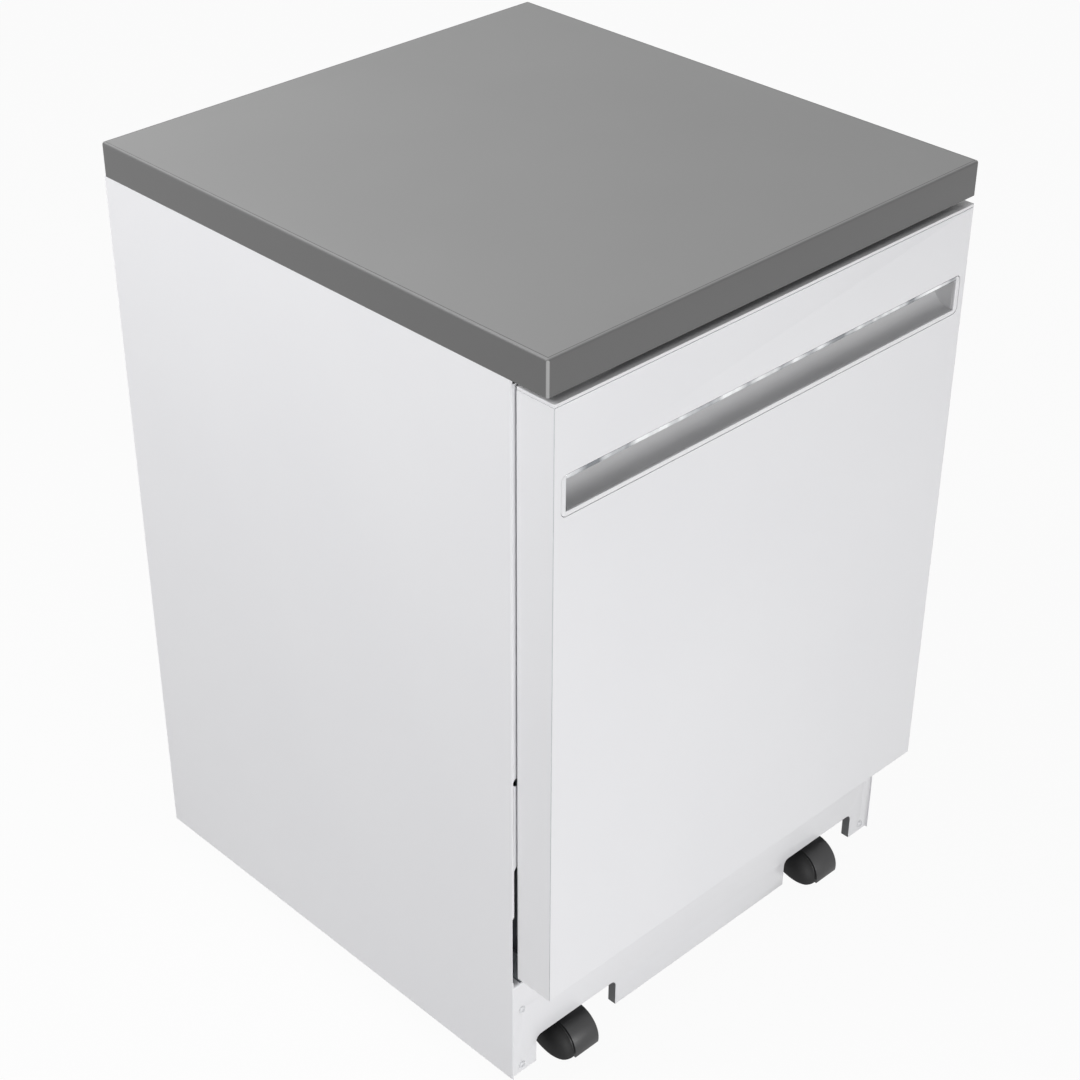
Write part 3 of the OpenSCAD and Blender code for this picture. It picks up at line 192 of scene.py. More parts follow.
def pressedLaminate(name, look):
    # high-pressure laminate with a satin stipple; its sides and the top's rounding are painted darker than the top as
    # painted shade, and its four corners carry a painted highlight
    material, tree, shader, place = startMaterial(name, {"IOR": 1.48})
    cloud = addNode(tree, "ShaderNodeTexNoise", {"Scale": 1 / (look["cloud"] * mm), "Detail": 2.0}, {"Vector": place})
    fleck = addNode(tree, "ShaderNodeTexNoise", {"Scale": 1 / (look["fleck"] * mm), "Detail": 4.0, "Roughness": 0.7},
                    {"Vector": place})
    blend = addNode(tree, "ShaderNodeMath", {"operation": "MULTIPLY_ADD", 1: 0.35},
                    {0: fleck.outputs["Fac"], 2: cloud.outputs["Fac"]})
    spread = addNode(tree, "ShaderNodeMapRange", {"From Min": 0.4, "From Max": 0.95}, {"Value": blend.outputs["Value"]})
    top = toneMix(tree, look, spread.outputs["Result"])
    height = addNode(tree, "ShaderNodeSeparateXYZ", {}, {"Vector": place})
    # painted shade: from the top's rounding down, the slab takes the darker edge colour in place of the shade on its
    # sides
    shadeBand = addNode(tree, "ShaderNodeMapRange", {
        "From Min": look["shadeBandTop"] - look["shadeBandFade"][0] * mm,
        "From Max": look["shadeBandTop"] - look["shadeBandFade"][1] * mm}, {"Value": height.outputs["Z"]})
    shadedSlab = addNode(tree, "ShaderNodeMix", {"data_type": "RGBA", 6: hexColour(look["edge"])},
                   {0: shadeBand.outputs["Result"], 7: top.outputs[2]})
    # a painted highlight: the band is painted pale where it turns the slab's four corners
    across = addNode(tree, "ShaderNodeMath", {"operation": "ABSOLUTE"}, {0: height.outputs["X"]})
    shifted = addNode(tree, "ShaderNodeMath", {"operation": "SUBTRACT", 1: look["middleY"]}, {0: height.outputs["Y"]})
    along = addNode(tree, "ShaderNodeMath", {"operation": "ABSOLUTE"}, {0: shifted.outputs["Value"]})
    reach = addNode(tree, "ShaderNodeMath", {"operation": "ADD"},
                    {0: across.outputs["Value"], 1: along.outputs["Value"]})
    cornerHighlightMask = addNode(tree, "ShaderNodeMapRange", {
        "From Min": look["cornerReach"] - look["highlightFade"][0] * mm,
        "From Max": look["cornerReach"] - look["highlightFade"][1] * mm}, {"Value": reach.outputs["Value"]})
    # the band's upper joint shows as a fine line just inside the slab's edges
    inX = addNode(tree, "ShaderNodeMath", {"operation": "SUBTRACT", 0: look["halfX"]}, {1: across.outputs["Value"]})
    inY = addNode(tree, "ShaderNodeMath", {"operation": "SUBTRACT", 0: look["halfY"]}, {1: along.outputs["Value"]})
    inside = addNode(tree, "ShaderNodeMath", {"operation": "MINIMUM"},
                     {0: inX.outputs["Value"], 1: inY.outputs["Value"]})
    seam = [distance * mm for distance in look["seam"]]
    lineUp = addNode(tree, "ShaderNodeMapRange", {"From Min": seam[0], "From Max": seam[1]},
                     {"Value": inside.outputs["Value"]})
    lineDown = addNode(tree, "ShaderNodeMapRange", {"From Min": seam[3], "From Max": seam[2]},
                       {"Value": inside.outputs["Value"]})
    line = addNode(tree, "ShaderNodeMath", {"operation": "MULTIPLY"},
                   {0: lineUp.outputs["Result"], 1: lineDown.outputs["Result"]})
    lined = addNode(tree, "ShaderNodeMix", {"data_type": "RGBA", 7: hexColour(look["edge"])},
                    {0: line.outputs["Value"], 6: shadedSlab.outputs[2]})
    colour = addNode(tree, "ShaderNodeMix", {"data_type": "RGBA", 7: hexColour(look["cornerHighlight"])},
                     {0: cornerHighlightMask.outputs["Result"], 6: lined.outputs[2]})
    stipple = addNode(tree, "ShaderNodeTexNoise", {"Scale": 1 / (look["stipple"] * mm), "Detail": 2.0},
                      {"Vector": place})
    gloss = addNode(tree, "ShaderNodeMapRange", {"To Min": look["rough"] - 0.05, "To Max": look["rough"] + 0.07},
                    {"Value": fleck.outputs["Fac"]})
    bump = addNode(tree, "ShaderNodeBump", {"Strength": 0.35, "Distance": look["depth"] * mm},
                   {"Height": stipple.outputs["Fac"]})
    coat(tree, shader, colour, gloss, bump)
    return material


def perforatedSteel(name, look):
    # stainless strainer sheet with a square grid of small holes, drawn coarser than real so that it shows
    material, tree, shader, place = startMaterial(name, {"Metallic": 1.0})
    grid = addNode(tree, "ShaderNodeTexVoronoi", {"Scale": 1 / (look["pitch"] * mm), "Randomness": 0.0},
                   {"Vector": place})
    hole = addNode(tree, "ShaderNodeMapRange", {"From Min": look["holeEdge"][0], "From Max": look["holeEdge"][1]},
                   {"Value": grid.outputs["Distance"]})
    stain = addNode(tree, "ShaderNodeTexNoise", {"Scale": 1 / (look["stain"] * mm), "Detail": 3.0}, {"Vector": place})
    sheet = toneMix(tree, look, stain.outputs["Fac"])
    colour = addNode(tree, "ShaderNodeMix", {"data_type": "RGBA", 6: hexColour(look["hole"])},
                     {0: hole.outputs["Result"], 7: sheet.outputs[2]})
    gloss = addNode(tree, "ShaderNodeMapRange", {"To Min": look["holeRough"], "To Max": look["rough"]},
                    {"Value": hole.outputs["Result"]})
    bump = addNode(tree, "ShaderNodeBump", {"Strength": 0.6, "Distance": 0.25 * mm}, {"Height": hole.outputs["Result"]})
    coat(tree, shader, colour, gloss, bump)
    return material


# one finish for each material slot of the record
finishes = {
    # the laminate's darker edge colour is painted shade on its sides and rounding, and its pale corner colour is a
    # painted highlight
    "worktop_laminate": pressedLaminate("laminateWorktop", {
        "base": "#959595", "shade": "#909090", "edge": "#5f5f5f", "cloud": 260, "fleck": 1.6, "stipple": 0.9,
        "depth": 0.04, "rough": 0.42, "shadeBandTop": 0.933, "shadeBandFade": (1.2, 0.2), "cornerHighlight": "#a0a0a0",
        "highlightFade": (0.8, 0.3), "middleY": 0.0017, "cornerReach": 0.6312, "halfX": 0.305, "halfY": 0.328,
        "seam": (2.6, 3.0, 3.4, 3.8)}),
    "painted_steel_white": sprayedPaint("bakedEnamelWhite", {
        "base": "#eaeaec", "shade": "#e5e5e8", "cloud": 240, "peel": 1.3, "depth": 0.02, "rough": 0.3, "gloss": 0.2}),
    "painted_steel_grey": sprayedPaint("bakedEnamelGrey", {
        "base": "#c9cacc", "shade": "#c2c3c6", "cloud": 180, "peel": 1.6, "depth": 0.03, "rough": 0.45, "gloss": 0.0}),
    "galvanised_steel": zincedSteel("galvanisedSheet", {
        "base": "#c4c8cb", "shade": "#8e9499", "spangle": 7, "haze": 18, "rough": 0.42}),
    "plated_screws": sprayedPaint("lacqueredScrewHead", {
        "base": "#e6e7e9", "shade": "#dadbde", "cloud": 5, "peel": 0.8, "depth": 0.02, "rough": 0.4, "gloss": 0.1}),
    "spring_steel": drawnMetal("springWire", {
        "base": "#8b8e92", "shade": "#6e7175", "stretch": (4, 1, 4), "line": 1.0, "stain": 12, "rough": 0.36,
        "depth": 0.01}),
    "tub_plastic": mouldedPlastic("polypropyleneTub", {
        "base": "#b8bcc1", "shade": "#aeb3b9", "flow": 140, "grain": 0.9, "depth": 0.03, "rough": 0.4}),
    "liner_plastic": mouldedPlastic("polypropyleneLiner", {
        "base": "#c8cbce", "shade": "#c0c3c7", "flow": 110, "grain": 0.8, "depth": 0.03, "rough": 0.4}),
    "vent_plastic": mouldedPlastic("polypropyleneVent", {
        "base": "#94979b", "shade": "#86898d", "flow": 30, "grain": 0.7, "depth": 0.03, "rough": 0.46}),
    "white_moulding": mouldedPlastic("absTrimWhite", {
        "base": "#eaeaec", "shade": "#e5e5e7", "flow": 90, "grain": 0.5, "depth": 0.008, "rough": 0.28, "ior": 1.52,
        "gloss": 0.15}),
    "start_button_grey": mouldedPlastic("absButtonGrey", {
        "base": "#5c5f63", "shade": "#54575b", "flow": 14, "grain": 0.4, "depth": 0.01, "rough": 0.36, "ior": 1.52}),
    "scoop_grey": mouldedPlastic("absScoopGrey", {
        "base": "#c8c8c9", "shade": "#c0c0c2", "flow": 80, "grain": 0.6, "depth": 0.02, "rough": 0.36, "ior": 1.52}),
    "bright_trim": chromePlated("chromePlatedTrim", {
        "base": "#f6f7f8", "shade": "#8b8e92", "reflectionStreak": 38, "rough": 0.14}),
    "seal_rubber": mouldedPlastic("epdmSeal", {
        "base": "#343538", "shade": "#2b2c2e", "flow": 20, "grain": 0.6, "depth": 0.03, "rough": 0.62, "ior": 1.52}),
    "rinse_cap_blue": mouldedPlastic("absCapBlue", {
        "base": "#4682b0", "shade": "#3d76a2", "flow": 12, "grain": 0.5, "depth": 0.015, "rough": 0.34, "ior": 1.52}),
    "coated_wire": mouldedPlastic("nylonDippedWire", {
        "base": "#b2b6bb", "shade": "#a4a8ae", "flow": 9, "grain": 1.4, "depth": 0.05, "rough": 0.33, "ior": 1.53}),
    "rack_nylon": mouldedPlastic("nylonRunner", {
        "base": "#d4d6d9", "shade": "#cacccf", "flow": 16, "grain": 0.6, "depth": 0.02, "rough": 0.44, "ior": 1.53}),
    "basket_plastic": mouldedPlastic("polypropyleneBasket", {
        "base": "#868c93", "shade": "#7a8087", "flow": 40, "grain": 0.7, "depth": 0.02, "rough": 0.42}),
    "wash_arm_plastic": mouldedPlastic("polypropyleneArm", {
        "base": "#cdd0d3", "shade": "#c3c6ca", "flow": 50, "grain": 0.7, "depth": 0.02, "rough": 0.4}),
    "sump_plastic": mouldedPlastic("filledPolypropylene", {
        "base": "#2c2e31", "shade": "#232528", "flow": 40, "grain": 0.8, "depth": 0.03, "rough": 0.5}),
    "strainer_steel": perforatedSteel("stainlessStrainer", {
        "base": "#c0c2c5", "shade": "#aaadb1", "hole": "#1d1e20", "holeEdge": (0.24, 0.30), "holeRough": 0.7,
        "pitch": 3.0, "stain": 30, "rough": 0.3}),
    "heater_sheath": drawnMetal("heatTintedSheath", {
        "base": "#6f665f", "shade": "#45444a", "stretch": (1, 1, 1), "line": 0.7, "stain": 22, "rough": 0.42,
        "depth": 0.02}),
    "pump_housing": mouldedPlastic("glassFilledHousing", {
        "base": "#53575d", "shade": "#474b50", "flow": 22, "grain": 0.8, "depth": 0.04, "rough": 0.52}),
    "caster_steel": drawnMetal("zincPlatedPressing", {
        "base": "#b9bcc0", "shade": "#a0a3a8", "stretch": (1, 1, 1), "line": 1.2, "stain": 14, "rough": 0.36,
        "depth": 0.01}),
    "caster_hood_black": mouldedPlastic("nylonHoodBlack", {
        "base": "#333334", "shade": "#2b2b2c", "flow": 26, "grain": 0.8, "depth": 0.03, "rough": 0.4, "ior": 1.53}),
    "caster_wheel_black": mouldedPlastic("nylonWheelBlack", {
        "base": "#323335", "shade": "#28292b", "flow": 18, "grain": 0.9, "depth": 0.05, "rough": 0.48, "ior": 1.53}),
}
nodeSlot = {part["node"]: part["material_slot"] for part in frame["record"]["subparts"]}
for name, node in nodes.items():
    node.data.materials.clear()
    node.data.materials.append(finishes[nodeSlot[name]])
print("finishes:", len(finishes))


# angles in degrees, distance in mm
shading = {"crease": 32, "ribCrease": 9, "rolled": 34, "flat": 0.8, "merge": 0.01}


def seat(mesh, name, body, slot, material=None):
    # a new piece: object at the origin, riding on a body
    piece = bpy.data.objects.new(name, mesh)
    scene.collection.objects.link(piece)
    mesh.materials.clear()
    mesh.materials.append(material or finishes[slot])
    mesh.polygons.foreach_set("use_smooth", [True] * len(mesh.polygons))
    mesh.set_sharp_from_angle(angle=math.radians(shading["crease"]))
    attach(piece, body)
    return piece


def meshFrom(bm, name):
    mesh = bpy.data.meshes.new(name)
    bm.to_mesh(mesh)
    bm.free()
    return mesh


def roundedCopy(node, passes):
    # copy of a solid's mesh with its sharp edges rolled; each pass is radius, segments and which edges
    bm = bmesh.new()
    bm.from_mesh(nodes[node].data)
    bmesh.ops.remove_doubles(bm, verts=bm.verts, dist=shading["merge"] * mm)
    bmesh.ops.dissolve_limit(bm, angle_limit=math.radians(shading["flat"]), verts=bm.verts, edges=bm.edges)
    for radius, segments, wanted in passes:
        edges = [e for e in bm.edges
                 if len(e.link_faces) == 2 and e.calc_face_angle(0.0) > math.radians(shading["rolled"])
                 and wanted((e.verts[0].co + e.verts[1].co) / 2 / mm)]
        bmesh.ops.bevel(bm, geom=edges, offset=radius * mm, offset_type="OFFSET", segments=segments,
                        profile=0.5, affect="EDGES", material=-1, clamp_overlap=False)
    return meshFrom(bm, node + "Rolled")


def boxInMm(node):
    # the low and the high corner of a solid's box
    return [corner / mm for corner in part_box(node)]


anyEdge = lambda middle: True


# these solids are shown as merged copies with their sharp edges rolled: radius in mm, segments
rolls = {
    "worktop": (0, 0), "rear_panel": (0.3, 1), "base_frame": (0.4, 2), "kick_panel": (0.25, 2),
    "kick_screws": (0.25, 2), "door_gasket": (1.2, 3), "rack_rails": (0.4, 2), "door_liner": (1.0, 2),
    "control_strip": (0.5, 3),
    "start_button": (0.5, 3), "cycle_button": (0.5, 3), "dry_button": (0.5, 3), "handle_bezel": (0.5, 3),
    "handle_scoop": (0.4, 2), "handle_lip": (0.3, 2), "hinge_arms": (0.5, 2), "hinge_pins": (0.4, 2),
    "hinge_brackets": (0.4, 2), "latch_housing": (0.7, 2), "latch_tongue": (0.8, 3), "dispenser_body": (0.9, 3),
    "dispenser_lid": (0.8, 3), "rinse_aid_cap": (0.9, 3), "door_vent": (0.5, 2), "upper_rack_glides": (1.2, 3),
    "upper_conduit": (1.6, 3), "upper_spray_arm": (1.4, 3), "lower_rack_brackets": (0.6, 2),
    "rack_wheel_front_left": (0.7, 2), "rack_wheel_front_right": (0.7, 2), "rack_wheel_rear_left": (0.7, 2),
    "rack_wheel_rear_right": (0.7, 2), "silverware_basket": (0.5, 2), "lower_spray_arm": (1.6, 3),
    "feed_tube": (1.2, 3), "sump": (0.8, 2), "filter": (0.1, 1), "wash_pump": (1.2, 3), "drain_pump": (1.0, 2),
    "heater": (0, 0), "float": (0.8, 2), "inlet_valve": (0.8, 2), "rear_glands": (0.9, 3), "caster_stems": (0.6, 2),
    "caster_hood_front_left": (0.35, 2), "caster_hood_front_right": (0.35, 2), "caster_hood_rear_left": (0.35, 2),
    "caster_hood_rear_right": (0.35, 2), "caster_wheel_front_left": (1.2, 3), "caster_wheel_front_right": (1.2, 3),
    "caster_wheel_rear_left": (1.2, 3), "caster_wheel_rear_right": (1.2, 3),
}


def show(node, passes):
    piece = seat(roundedCopy(node, passes), node + "Rolled", nodes[node]["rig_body"], nodeSlot[node])
    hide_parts(node)


for node, (radius, segments) in rolls.items():
    show(node, [(radius, segments, anyEdge)] if radius else [])

# the rear cover's pressed ribs slope so gently that their edges need a lower limit to stay crisp
bpy.data.objects["rear_panelRolled"].data.set_sharp_from_angle(angle=math.radians(shading["ribCrease"]))


def secondFinish(node, material, wanted):
    # gives the faces that wanted names, by their middle in mm, a finish of their own
    mesh = bpy.data.objects[node + "Rolled"].data
    mesh.materials.append(material)
    for face in mesh.polygons:
        if wanted(face.center / mm, face.normal):
            face.material_index = 1


# the hoods' domed ends are left matt from the mould
domeEnd = {"width": 37, "groove": 1.4, "finish": mouldedPlastic("nylonDomeMatt", {
    "base": "#131314", "shade": "#0f0f10", "flow": 26, "grain": 1.1, "depth": 0.05, "rough": 0.62, "ior": 1.4})}
for corner in ("front_left", "front_right", "rear_left", "rear_right"):
    low, high = boxInMm("caster_wheel_" + corner)
    domeEdge = (low.x + high.x) / 2 - domeEnd["width"] / 2 - domeEnd["groove"]
    secondFinish("caster_hood_" + corner, domeEnd["finish"], lambda m, n: m.x < domeEdge)

# painted shade: the return flanges in the kick panel's cut-outs are painted dark grey for the shade they sit in
flangeShade = {"top": 73, "sheet": 1.6, "finish": sprayedPaint("flangeShadeGrey", {
    "base": "#707173", "shade": "#606163", "cloud": 60, "peel": 1.6, "depth": 0.03, "rough": 0.5, "gloss": 0.0})}
kickFace = boxInMm("kick_panel")[0].y
secondFinish("kick_panel", flangeShade["finish"],
             lambda m, n: m.y > kickFace + flangeShade["sheet"] and m.z < flangeShade["top"] and abs(n.y) < 0.5)

# the tub and its front frame meet flush, so the edges along their seam stay sharp
near = 0.1                                              # mm, what counts as lying on a plane
frameBack = boxInMm("tub_flange")[1].y
show("tub", [(1.2, 2, lambda m: m.y > frameBack + near)])
show("tub_flange", [(0.8, 2, lambda m: m.y < frameBack - near)])

# folded sheet: the outside of each front fold has a real bending radius
folds = {"panelFold": 2.0, "doorFold": 1.2, "segments": 4}
panelCorner = boxInMm("side_panel_left")[0]
for node in ("side_panel_left", "side_panel_right"):
    show(node, [(folds["panelFold"], folds["segments"],
                 lambda m: abs(m.x) > -panelCorner.x - 2 * near and m.y < panelCorner.y + near)])
skin = boxInMm("door_skin")
pocket = boxInMm("handle_bezel")
show("door_skin", [(folds["doorFold"], folds["segments"], lambda m: m.y < skin[0].y + near and m.z < skin[1].z - 1
                    and (abs(m.x) > skin[1].x - 0.5 or m.z < skin[0].z + 0.5))])

# painted shade: the door's sharp front folds are painted grey on their turning faces, so they read as fine grey lines
foldShade = {"width": 2, "turned": (-0.97, -0.2), "finish": sprayedPaint("foldShadeEnamel", {
    "base": "#c6c7ca", "shade": "#b9babd", "cloud": 60, "peel": 1.3, "depth": 0.02, "rough": 0.4, "gloss": 0.0})}
secondFinish("door_skin", foldShade["finish"], lambda m, n: m.y < skin[0].y + folds["doorFold"]
             and foldShade["turned"][0] < n.y < foldShade["turned"][1]
             and (abs(m.x) > skin[1].x - foldShade["width"] or m.z < skin[0].z + foldShade["width"]))

# the skin's cut-out and the strip's lower edge stand off what they meet by a visible joint
joint = {"pocket": 0.3, "strip": 0.4, "sheet": 1.1, "corner": 7, "around": 0.5, "stripFoot": 0.9}
middle = (pocket[0] + pocket[1]) / 2
for vertex in bpy.data.objects["door_skinRolled"].data.vertices:
    place = vertex.co / mm
    if (place.y < skin[0].y + joint["sheet"] and abs(place.x) < pocket[1].x + joint["around"]
            and pocket[0].z - joint["around"] < place.z < pocket[1].z + joint["around"]):
        if abs(place.x) > pocket[1].x - joint["corner"]:
            vertex.co.x += math.copysign(joint["pocket"] * mm, place.x)
        vertex.co.z += math.copysign(joint["pocket"] * mm, place.z - middle.z)
for vertex in bpy.data.objects["control_stripRolled"].data.vertices:
    place = vertex.co / mm
    if abs(place.z - skin[1].z) < joint["stripFoot"] and (place.y < skin[0].y + 1 or abs(place.x) > skin[1].x - 1):
        vertex.co.z += joint["strip"] * mm
print("solids dressed")


# wires of the racks and springs
def bentPath(points, bend, steps=5):
    # a path through the points, in mm, with each inner corner rounded
    points = [Vector(p) for p in points]
    path = [points[0]]
    for a, b, c in zip(points, points[1:], points[2:]):
        start = b + (a - b).normalized() * min(bend, (a - b).length / 2)
        end = b + (c - b).normalized() * min(bend, (c - b).length / 2)
        for i in range(steps + 1):
            t = i / steps
            path.append(start * (1 - t) ** 2 + b * 2 * t * (1 - t) + end * t ** 2)
    return path + [points[-1]]


def wireMesh(name, wires, sides=2):
    # wires is a list of (path in mm, radius in mm, closed); a tip is drawn in a little
    curve = bpy.data.curves.new(name, "CURVE")
    curve.dimensions = "3D"
    curve.bevel_depth = mm
    curve.bevel_resolution = sides
    curve.use_fill_caps = True
    for path, radius, closed in wires:
        spline = curve.splines.new("POLY")
        spline.points.add(len(path) - 1)
        spline.use_cyclic_u = closed
        for point, place in zip(spline.points, path):
            point.co = (place[0] * mm, place[1] * mm, place[2] * mm, 1)
            point.radius = radius
        if not closed:
            spline.points[-1].radius = radius * 0.75
    shape = bpy.data.objects.new(name, curve)
    mesh = bpy.data.meshes.new_from_object(shape)
    bpy.data.objects.remove(shape)
    return mesh


rack = {"half": 248, "front": -254.4, "back": 231.6, "pitchX": 62, "pitchY": 54, "wire": 2.0, "thin": 1.5,
        "rim": 2.4, "bend": 9, "corner": 14, "thinLift": 1.2, "crossLift": 3.2,
        "tineFoot": 2, "tineWire": 1.6}
rackXs = [(i - 3.5) * rack["pitchX"] for i in range(8)]
rackYs = [rack["front"] + i * rack["pitchY"] for i in range(1, 9)]


def basketWires(look):
    # U-shaped wires one way, thinner ones between them, U-shaped wires across and closed rings round the sides
    half, front, back, bend = rack["half"], rack["front"], rack["back"], rack["bend"]
    low, high = look["low"], look["high"]
    between = [x + rack["pitchX"] / 2 for x in rackXs[:-1]]
    wires = []
    for xs, base, radius in ((rackXs, low, rack["wire"]), (between, low + rack["thinLift"], rack["thin"])):
        for x in xs:
            bent = bentPath([(x, front, high), (x, front, base), (x, back, base), (x, back, high)], bend)
            wires.append((bent, radius, False))
    base = low + rack["crossLift"]
    for y in rackYs:
        bent = bentPath([(-half, y, high), (-half, y, base), (half, y, base), (half, y, high)], bend)
        wires.append((bent, rack["wire"], False))
    for z, radius in ((high, rack["rim"]), (look["ring"], rack["wire"]), (look["thinRing"], rack["thin"])):
        corners = [(0, front, z), (half, front, z), (half, back, z), (-half, back, z), (-half, front, z), (0, front, z)]
        wires.append((bentPath(corners, rack["corner"])[:-1], radius, True))
    return wires


def tineRow(look, x, lean, count, first):
    # a row of tines along a rack, each bent over slightly towards its tip
    z, height = look["low"] + rack["tineFoot"], look["tine"]
    ys = [first + (rackYs[-1] - first) * i / (count - 1) for i in range(count)]
    return [([Vector((x, y, z)), Vector((x + lean * 0.4, y, z + height * 0.5)), Vector((x + lean, y, z + height - 1.5)),
              Vector((x + lean * 1.02, y, z + height))], rack["tineWire"], False) for y in ys]


# each row of tines: x, lean at the tip, how many, and the y of the first
upperRack = {"body": "upper_basket", "low": 566, "high": 690, "ring": 613, "thinRing": 652, "tine": 62,
             "rows": ((-93, -8, 15, rackYs[0]), (93, 8, 15, rackYs[0]))}
lowerRack = {"body": "lower_basket", "low": 259.6, "high": 399.6, "ring": 337.6, "thinRing": 368, "tine": 74,
             "rows": ((-155, -10, 22, rackYs[0]), (31, 10, 22, rackYs[0]), (155, 10, 19, rackYs[1]))}
for node, look in (("upper_rack", upperRack), ("lower_rack", lowerRack)):
    wires = basketWires(look)
    for row in look["rows"]:
        wires += tineRow(look, *row)
    piece = seat(wireMesh(node + "Wires", wires), node + "Wires", look["body"], "coated_wire")
    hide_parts(node)
    print(node, "wires bent:", len(wires))

# hook and tail: x from the machine's middle, and y from the coil's start or end
spring = {"x": 291, "z": 187, "radius": 5.5, "wire": 1.1, "turns": 22, "start": -224, "end": -60, "steps": 14,
          "hook": ((286.8, -14), (290, -14), (291, -12), (291, -3), (293, -1.5)),
          "tail": ((293, 1.5), (291, 3), (291, 12.6))}
coils = []
for side in (-1, 1):
    count = spring["turns"] * spring["steps"]
    path = [Vector((side * x, spring["start"] + y, spring["z"])) for x, y in spring["hook"]]
    for i in range(count + 1):
        angle = 2 * math.pi * i / spring["steps"]
        path.append(Vector((side * (spring["x"] + spring["radius"] * math.cos(angle)),
                            spring["start"] + (spring["end"] - spring["start"]) * i / count,
                            spring["z"] + spring["radius"] * math.sin(angle))))
    path += [Vector((side * x, spring["end"] + y, spring["z"])) for x, y in spring["tail"]]
    coils.append((path, spring["wire"], False))
piece = seat(wireMesh("doorSpringCoils", coils, 1), "doorSpringCoils", "cabinet", "spring_steel")
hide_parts("door_springs")
print("door springs wound")


# small fittings that the solids leave out
def panHead(bm, place, out, radius, height):
    # a domed screw head with a cross recess; out is the way it faces
    turn = Vector(out).to_track_quat("Z", "Y").to_matrix().to_4x4()
    spot = Matrix.Translation(Vector(place) * mm) @ turn
    head = bmesh.ops.create_cone(bm, cap_ends=True, segments=24, radius1=radius * mm, radius2=0.62 * radius * mm,
                                 depth=height * mm, matrix=spot @ Matrix.Translation((0, 0, height / 2 * mm)))["verts"]
    top = max({f for v in head for f in v.link_faces},
              key=lambda f: (f.calc_center_median() - Vector(place) * mm).dot(Vector(out)))
    bmesh.ops.inset_region(bm, faces=[top], thickness=0.3 * radius * mm, depth=0)
    sunk = bmesh.ops.extrude_discrete_faces(bm, faces=[top])["faces"]
    bmesh.ops.translate(bm, verts=[v for f in sunk for v in f.verts], vec=Vector(out) * -0.4 * height * mm)


def screwSet(name, body, places, radius, height):
    bm = bmesh.new()
    for place in places:
        panHead(bm, place, (0, 1, 0), radius, height)
    seat(meshFrom(bm, name), name, body, "plated_screws")


coverScrews = {"inX": 9, "inZ": 14, "beads": 1.1, "middles": (-60, 60), "heights": (300, 480, 660), "radius": 4.0,
               "height": 1.0}
rear = boxInMm("rear_panel")
coverFace = rear[1].y - coverScrews["beads"]            # flat sheet behind the pressed beads
sides = (rear[0].x + coverScrews["inX"], rear[1].x - coverScrews["inX"])
ends = (rear[0].z + coverScrews["inZ"], rear[1].z - coverScrews["inZ"])
places = [(x, coverFace, z) for x in (sides[0], *coverScrews["middles"], sides[1]) for z in ends]
places += [(x, coverFace, z) for x in sides for z in coverScrews["heights"]]
screwSet("rearCoverScrews", "cabinet", places, coverScrews["radius"], coverScrews["height"])

doorScrews = {"inX": 7, "heights": (260, 420, 580, 740, 860), "radius": 3.6, "height": 0.9}
liner = boxInMm("door_liner")
places = [(x, liner[1].y, z) for x in (liner[0].x + doorScrews["inX"], liner[1].x - doorScrews["inX"])
          for z in doorScrews["heights"]]
screwSet("linerScrews", "door", places, doorScrews["radius"], doorScrews["height"])

indicator = {"xs": (0, 10, 20), "back": 26, "radius": 1.6, "proud": 0.35, "finish": mouldedPlastic("acrylicLensGreen", {
    "base": "#6f8f78", "shade": "#62806b", "flow": 4, "grain": 0.5, "depth": 0.002, "rough": 0.12, "ior": 1.49,
    "gloss": 0.3})}
strip = boxInMm("control_strip")
bm = bmesh.new()
for x in indicator["xs"]:
    place = Vector((x, strip[0].y + indicator["back"], strip[1].z - indicator["radius"] + indicator["proud"]))
    bmesh.ops.create_uvsphere(bm, u_segments=20, v_segments=10, radius=indicator["radius"] * mm,
                              matrix=Matrix.Translation(place * mm))
seat(meshFrom(bm, "indicatorLenses"), "indicatorLenses", "door", "start_button_grey", indicator["finish"])

# a grip on each rack's front rail, with every other field of its face pressed in
grips = {"half": 45, "depth": 5, "height": 7, "roll": 2.2, "field": 9, "edge": 0.8, "pressed": 0.7}
for name, look in (("upperRackGrip", upperRack), ("lowerRackGrip", lowerRack)):
    z = look["high"] * mm
    bm = bmesh.new()
    bmesh.ops.create_cube(bm, size=2, matrix=Matrix.Translation((0, rack["front"] * mm, z))
                          @ Matrix.Diagonal((grips["half"] * mm, grips["depth"] * mm, grips["height"] * mm, 1)))
    lengthwise = [e for e in bm.edges if abs(e.verts[0].co.x - e.verts[1].co.x) > grips["half"] * mm]
    bmesh.ops.subdivide_edges(bm, edges=lengthwise, cuts=9, use_grid_fill=True)
    fields = [f for f in bm.faces
              if abs(f.normal.y) > 0.9 and round(f.calc_center_median().x / mm / grips["field"]) % 2 == 0]
    bmesh.ops.inset_individual(bm, faces=fields, thickness=grips["edge"] * mm, depth=-grips["pressed"] * mm)
    outer = [e for e in bm.edges if len(e.link_faces) == 2 and e.calc_face_angle(0.0) > 1.2
             and all(abs(abs(v.co.z - z) - grips["height"] * mm) < 0.01 * mm for v in e.verts)]
    bmesh.ops.bevel(bm, geom=outer, offset=grips["roll"] * mm, offset_type="OFFSET", segments=3, profile=0.5,
                    affect="EDGES", material=-1, clamp_overlap=True)
    seat(meshFrom(bm, name), name, look["body"], "rack_nylon")
print("fittings added")


